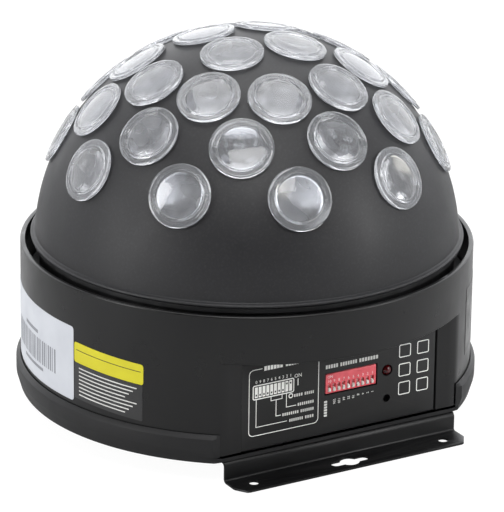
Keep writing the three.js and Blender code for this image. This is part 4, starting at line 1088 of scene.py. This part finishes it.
def make_mains_socket():
    (w, h), c = INLET_OPENING, INLET_CHAMFER
    floor = INLET_FACE - INLET_DEEP
    corners = [(-w, -h), (w, -h), (w, h - c), (w - c, h), (-w + c, h), (-w, h - c)]
    outline = rounded([(INLET_X + x, CONNECTOR_Z + z) for x, z in corners], [0.9, 0.9, 0.6, 0.6, 0.6, 0.6], 3)
    flange = connector_block(INLET_X, INLET_FLANGE, (FLAT + HAIR, INLET_FACE), 0.7, 3)
    body = connector_block(INLET_X, INLET_BODY, (INLET_FACE - INLET_BODY_DEEP, FLAT), 0.4)
    cavity = (prism, outline, floor, INLET_FACE + PAST, ALONG_Y)
    parts = [cut(solid, weld(new(*cavity))) for solid in (flange, body)]
    piece("mains_socket", merged(*parts), "black_plastic", "mains_inlet")
    bm = bmesh.new()
    for x, z in INLET_PINS:
        box(bm, span(INLET_X + x, 1), (floor - 0.5, floor + 8.5), span(CONNECTOR_Z + z, 2.1), 0.45)
    piece("mains_pins", bm, "zinc_steel")


def make_fuse_knob():
    rows = [(0, FLAT + HAIR), (1, FLAT + HAIR), (1, FLAT + 1.0), (1, KNOB_TOP - 0.9), (0.97, KNOB_TOP - 0.45),
            (0.9, KNOB_TOP - 0.12), (0.82, KNOB_TOP), (0, KNOB_TOP)]

    def fluted(row, r, a):
        return r - (KNOB_FLUTE * max(0, cos(KNOB_FLUTES * a)) if row in KNOB_GRIP_ROWS else 0)

    profile = [(share * KNOB_R, y) for share, y in rows]
    bm = new(lathe, profile, 120, stand_out(REAR, FUSE_X, CONNECTOR_Z), False, fluted)
    slot = new(box, span(FUSE_X, 8), (KNOB_TOP - 1.3, KNOB_TOP + 1), span(CONNECTOR_Z, 0.7))
    piece("fuse_knob", cut(weld(bm), slot), "black_plastic", "fuse_cap")


def add_contacts(bm, x, r, y0, y1, sides, bevel=0.0):
    for a in CONTACT_ANGLES:
        dx, dz = CONTACT_CIRCLE * cos(radians(a)), CONTACT_CIRCLE * sin(radians(a))
        rod_y(bm, r, y0, y1, x + dx, CONNECTOR_Z + dz, sides, bevel)


def signal_shell(x, notch=None):
    """The flange and the barrel of a round socket, each with the bore and a notch taken out."""
    flange = connector_block(x, SIGNAL_FLANGE, (FLAT + HAIR, SIGNAL_FACE), 0.6, 3)
    barrel = new(rod_y, SIGNAL_BARREL_R, SIGNAL_FACE - SIGNAL_BARREL_LONG, FLAT, x, CONNECTOR_Z, 64)
    parts = []
    for solid in (flange, weld(barrel)):
        cavity = new(rod_y, SIGNAL_BORE_R, SIGNAL_FACE - SIGNAL_BORE_DEEP, SIGNAL_FACE + PAST, x, CONNECTOR_Z, 64)
        if notch:
            box(cavity, *notch)
        parts.append(cut(solid, weld(cavity)))
    return parts


def make_signal_sockets():
    parts = signal_shell(SIGNAL_IN_X)
    piece("signal_socket_in", merged(*parts), "black_plastic", "signal_input")
    bm = new(add_contacts, SIGNAL_IN_X, PIN_R, SIGNAL_FACE - 14.5, SIGNAL_FACE - 6, 20, 0.8)
    piece("signal_pins", weld(bm), "zinc_steel", look="brass")
    x = SIGNAL_OUT_X
    wide, tall = LATCH_HALF
    parts = signal_shell(x, (span(x, wide + LATCH_GAP), (FLAT + HAIR / 2, SIGNAL_FACE + PAST),
                             span(LATCH_Z, tall + LATCH_GAP)))
    insert = new(rod_y, INSERT_R, SIGNAL_FACE - 14.2, SIGNAL_FACE - 0.2, x, CONNECTOR_Z, 64, 0.5)
    holes = new(add_contacts, x, PIN_HOLE_R, SIGNAL_FACE - 8, SIGNAL_FACE + PAST, 24)
    parts.append(cut(weld(insert), weld(holes)))
    piece("signal_socket_out", merged(*parts), "black_plastic", "signal_output")
    bm = new(box, span(x, wide), LATCH_Y, span(LATCH_Z, tall), 0.45, 3)
    grooves = bmesh.new()
    for dz in (-0.9, 0, 0.9):
        box(grooves, span(x, 2.6), (LATCH_Y[1] - 0.3, LATCH_Y[1] + 1.5), span(LATCH_Z + dz, 0.18))
    piece("socket_latch", cut(bm, grooves), "zinc_steel", "signal_output_latch", body="latch")


def cross_head(x, y, z, r, turn, matrix, height=0.7, depth=0.5):
    """A domed screw head with a cross recess, standing on z = 0 of its own frame."""
    profile = [(0, -0.2), (r, -0.2), (r, 0.15), (r * 0.93, height * 0.55), (r * 0.7, height * 0.88), (0, height)]
    cutter = bmesh.new()
    for a, b in ((r * 0.55, r * 0.13), (r * 0.13, r * 0.55)):
        box(cutter, span(0, a), span(0, b), (height - depth, height + 1))
    bm = cut(weld(new(lathe, profile, 32)), weld(cutter))
    bm.transform(shift(x, y, z) @ matrix @ rotation(turn, "Z"))
    return bm


SCREW_SHANK = [(0, 8.9), (1.75, 8.9), (1.75, 15.4), (1.3, 15.95), (0, 15.95)]


def make_screws():
    facing = rotation(-90, "X")
    dx, dz = SOCKET_SCREW_PLACE
    heads = []
    for i, x in enumerate((SIGNAL_OUT_X, SIGNAL_IN_X)):
        for j, side in enumerate((-1, 1)):
            turn = 20 + 35 * i + 50 * j
            heads.append(cross_head(x + side * dx, SIGNAL_FACE, CONNECTOR_Z - side * dz, 2.0, turn, facing))
    piece("socket_screws", merged(*heads), "zinc_steel")
    down = rotation(180, "X")
    for i, (x, y) in enumerate(FOOT_SCREWS):
        head = cross_head(x, y, PAN_LOW - BRACKET_SHEET, 3.2, 15 + 40 * i, down, 1.95, 0.9)
        shank = new(lathe, SCREW_SHANK, 24, shift(x, y, 0))
        piece("foot_screw_%d" % (i + 1), merged(head, weld(shank)), "zinc_steel",
              "bracket_screw_%d" % (i + 1))


make_socket_panel()
make_mains_socket()
make_fuse_knob()
make_signal_sockets()
make_screws()

# Dome: a turned shell with its round lens holes cut, and normals that follow the sphere
LIP_ROUND = 0.9
ON_SPHERE = 0.06


def lens_frames():
    """The ring, the number in it and the frame of each lens, whose axis is the frame's Z."""
    for ring, count, latitude, azimuth in LENS_RINGS:
        for i in range(count):
            turn = rotation(azimuth + 360 * i / count, "Z") @ rotation(90 - latitude, "X")
            yield ring, i, shift(0, 0, DOME_Z) @ turn


def make_dome():
    inner = DOME_R - DOME_WALL
    start = degrees(asin((LIP_HIGH + 0.5 - DOME_Z) / DOME_R))
    inner_start = degrees(asin((LIP_HIGH - DOME_Z) / inner))
    outside = arc(0, DOME_Z, DOME_R, 90, start, 46)
    inside = arc(0, DOME_Z, inner, inner_start, 90, 30)
    outside[0] = (0, DOME_Z + DOME_R)
    inside[-1] = (0, DOME_Z + inner)
    lip = [(99.75, LIP_HIGH + 0.12), (100.1, LIP_HIGH),
           *arc(LIP_R - LIP_ROUND, LIP_HIGH - LIP_ROUND, LIP_ROUND, 90, -90, 10),
           (LIP_INNER, LIP_LOW), (LIP_INNER, LIP_HIGH)]
    bm = new(lathe, outside + lip + inside, 180)
    cutter = bmesh.new()
    for _, _, matrix in lens_frames():
        lathe(cutter, [(0, 93), (LENS_HOLE, 93), (LENS_HOLE, 103), (0, 103)], 40, matrix)
    bm = weld(cut(weld(bm), weld(cutter)))
    mesh = piece("dome_casing", bm, "dome_plastic", "dome_shell", body="dome").data
    centre = mm(0, 0, DOME_Z)
    normals = [Vector(c.vector) for c in mesh.corner_normals]
    for poly in mesh.polygons:
        for k in poly.loop_indices:
            out = mesh.vertices[mesh.loops[k].vertex_index].co - centre
            radius = out.length / MM
            out.normalize()
            facing = poly.normal.dot(out)
            above_lip = out.z * radius + DOME_Z > LIP_HIGH + 0.3
            if abs(radius - DOME_R) < ON_SPHERE and facing > 0.97 and above_lip:
                normals[k] = out
            elif abs(radius - inner) < ON_SPHERE and facing < -0.97:
                normals[k] = -out
    mesh.normals_split_custom_set([tuple(v) for v in normals])


make_dome()

# Lenses: clear discs with a stepped flange, a raised ring and a domed window, convex and frosted behind
LENS_WINDOW = 10.3
LENS_BACK = 98.8
LENS_BACK_CURVE = 24.0
# The front as (radius, height over the seat)
LENS_FRONT = (
    (10.7, -0.2), (10.75, 0), (14.3, 0), (14.62, 0.12), (LENS_R, 0.4), (LENS_R, 1.05), (14.6, 1.35),
    (14.35, 1.5), (13.0, 1.6), (12.75, 1.5), (12.6, 1.25), (12.3, 1.2), (12.0, 1.35), (11.75, 1.85),
    (11.5, 2.05), (11.1, 2.1), (10.75, 1.95), (10.5, 1.75), (10.2, 1.78), (9.0, 2.02), (7.5, 2.22),
    (5.5, 2.43), (3.5, 2.57), (1.8, 2.63), (0, 2.65))
LENS_PROFILE = [(0, 96.6)] + arc(0, 96.6 + LENS_BACK_CURVE, LENS_BACK_CURVE, 270, 294.3, 6)[1:]
LENS_PROFILE += [(r, LENS_SEAT + z) for r, z in LENS_FRONT]


def make_lenses():
    for ring, i, matrix in lens_frames():
        bm = new(lathe, LENS_PROFILE, 48, matrix, closed=False)
        node = "lens_ring_" + ring if i == 0 else None
        name = "lens_%s_%02d" % (ring, i + 1)
        mesh = piece(name, weld(bm), "clear_lens", node, body="dome", sharp=40).data
        mesh.materials.append(LOOKS["lens_window"])
        own = matrix.inverted()
        for poly in mesh.polygons:
            at = own @ poly.center
            if hypot(at.x, at.y) < LENS_WINDOW * MM and at.z < LENS_BACK * MM:
                poly.material_index = 1


make_lenses()

# Studio; its places and sizes are in metres
ROOM_BEHIND = 2.4
ROOM_FRONT = 0.05
ROOM_TILT = 0.35
ROOM_FADE = (-0.8, 0.4)
ROOM_THROUGH_GLASS = 0.45
FLOOR_HALF = 3.0
FLOOR_DROP = 0.0005
FLOOR_WHITE = 0.8
FLOOR_GLOW = 1.2


def make_world():
    """White behind the object; in its reflections, bright behind and above, dim in front of it."""
    world = bpy.data.worlds.new("studio")
    bpy.context.scene.world = world
    world.use_nodes = True
    world.node_tree.nodes.clear()
    made = Tree(world.node_tree)
    path = made.node("ShaderNodeLightPath").outputs
    a = radians(CAMERA_AZIMUTH)
    sockets = {0: made.node("ShaderNodeTexCoord").outputs["Generated"], 1: (sin(a), -cos(a), ROOM_TILT)}
    toward = made.node("ShaderNodeVectorMath", sockets, operation="DOT_PRODUCT").outputs["Value"]
    fade = made.ramp(toward, ROOM_BEHIND, ROOM_FRONT, *ROOM_FADE, interpolation_type="SMOOTHSTEP")
    through = made.ramp(path["Is Transmission Ray"], 1, ROOM_THROUGH_GLASS)
    level = made.node("ShaderNodeMath", {0: fade, 1: through}, operation="MULTIPLY").outputs[0]
    room = made.node("ShaderNodeBackground", {"Color": (0.97, 0.98, 1, 1), "Strength": level}).outputs[0]
    white = made.node("ShaderNodeBackground", {"Color": (1, 1, 1, 1), "Strength": 1}).outputs[0]
    mix = made.node("ShaderNodeMixShader", {0: path["Is Camera Ray"], 1: room, 2: white})
    made.node("ShaderNodeOutputWorld", {0: mix.outputs[0]})


def make_floor():
    """A pale floor; what the camera sees of it is mostly its own white, so that the shadow stays soft."""
    bm = bmesh.new()
    bmesh.ops.create_grid(bm, x_segments=2, y_segments=2, size=FLOOR_HALF)
    floor = add_object("floor", to_mesh("floor", bm))
    floor.location.z = -FLOOR_DROP
    made = Build("floor", rgb(188, 188, 188), 0.9)
    seen = made.node("ShaderNodeLightPath").outputs["Is Camera Ray"]
    share = made.node("ShaderNodeMath", {0: seen, 1: FLOOR_WHITE}, operation="MULTIPLY").outputs[0]
    glow = made.node("ShaderNodeEmission", {"Strength": FLOOR_GLOW}).outputs[0]
    mix = made.node("ShaderNodeMixShader", {0: share, 1: made.shader.outputs[0], 2: glow})
    made.link(mix.outputs[0], made.tree.nodes["Material Output"].inputs[0])
    floor.data.materials.append(LOOKS["floor"])


def add_light(name, kind, place, power):
    data = bpy.data.lights.new(name, kind)
    data.energy = power
    light = add_object(name, data)
    light.location = place
    return light


def area_light(name, place, target, size, power):
    light = add_light(name, "AREA", place, power)
    light.data.shape = "RECTANGLE"
    light.data.size, light.data.size_y = size
    light.rotation_euler = (Vector(target) - Vector(place)).to_track_quat("-Z", "Y").to_euler()


def lamp_inside():
    """A dim lamp in the dome, so that its inside shows through the lenses."""
    light = add_light("inside", "POINT", (0, 0, 0.125), 1.1)
    light.data.shadow_soft_size = 0.02
    light.visible_glossy = False
    light.visible_transmission = False


make_world()
make_floor()
area_light("overhead", (0.12, 0.22, 1.6), (0, 0, 0.12), (1.4, 1.1), 16)
area_light("front_top", (-0.3, -0.7, 1.2), (0, 0, 0.08), (0.8, 0.5), 10)
area_light("left", (-1.5, 0.1, 0.6), (0, 0, 0.08), (0.5, 1.2), 15)
area_light("right", (0.75, -0.95, 0.55), (0, 0, 0.08), (0.5, 0.9), 9)
lamp_inside()
bpy.context.scene.view_settings.view_transform = "Standard"
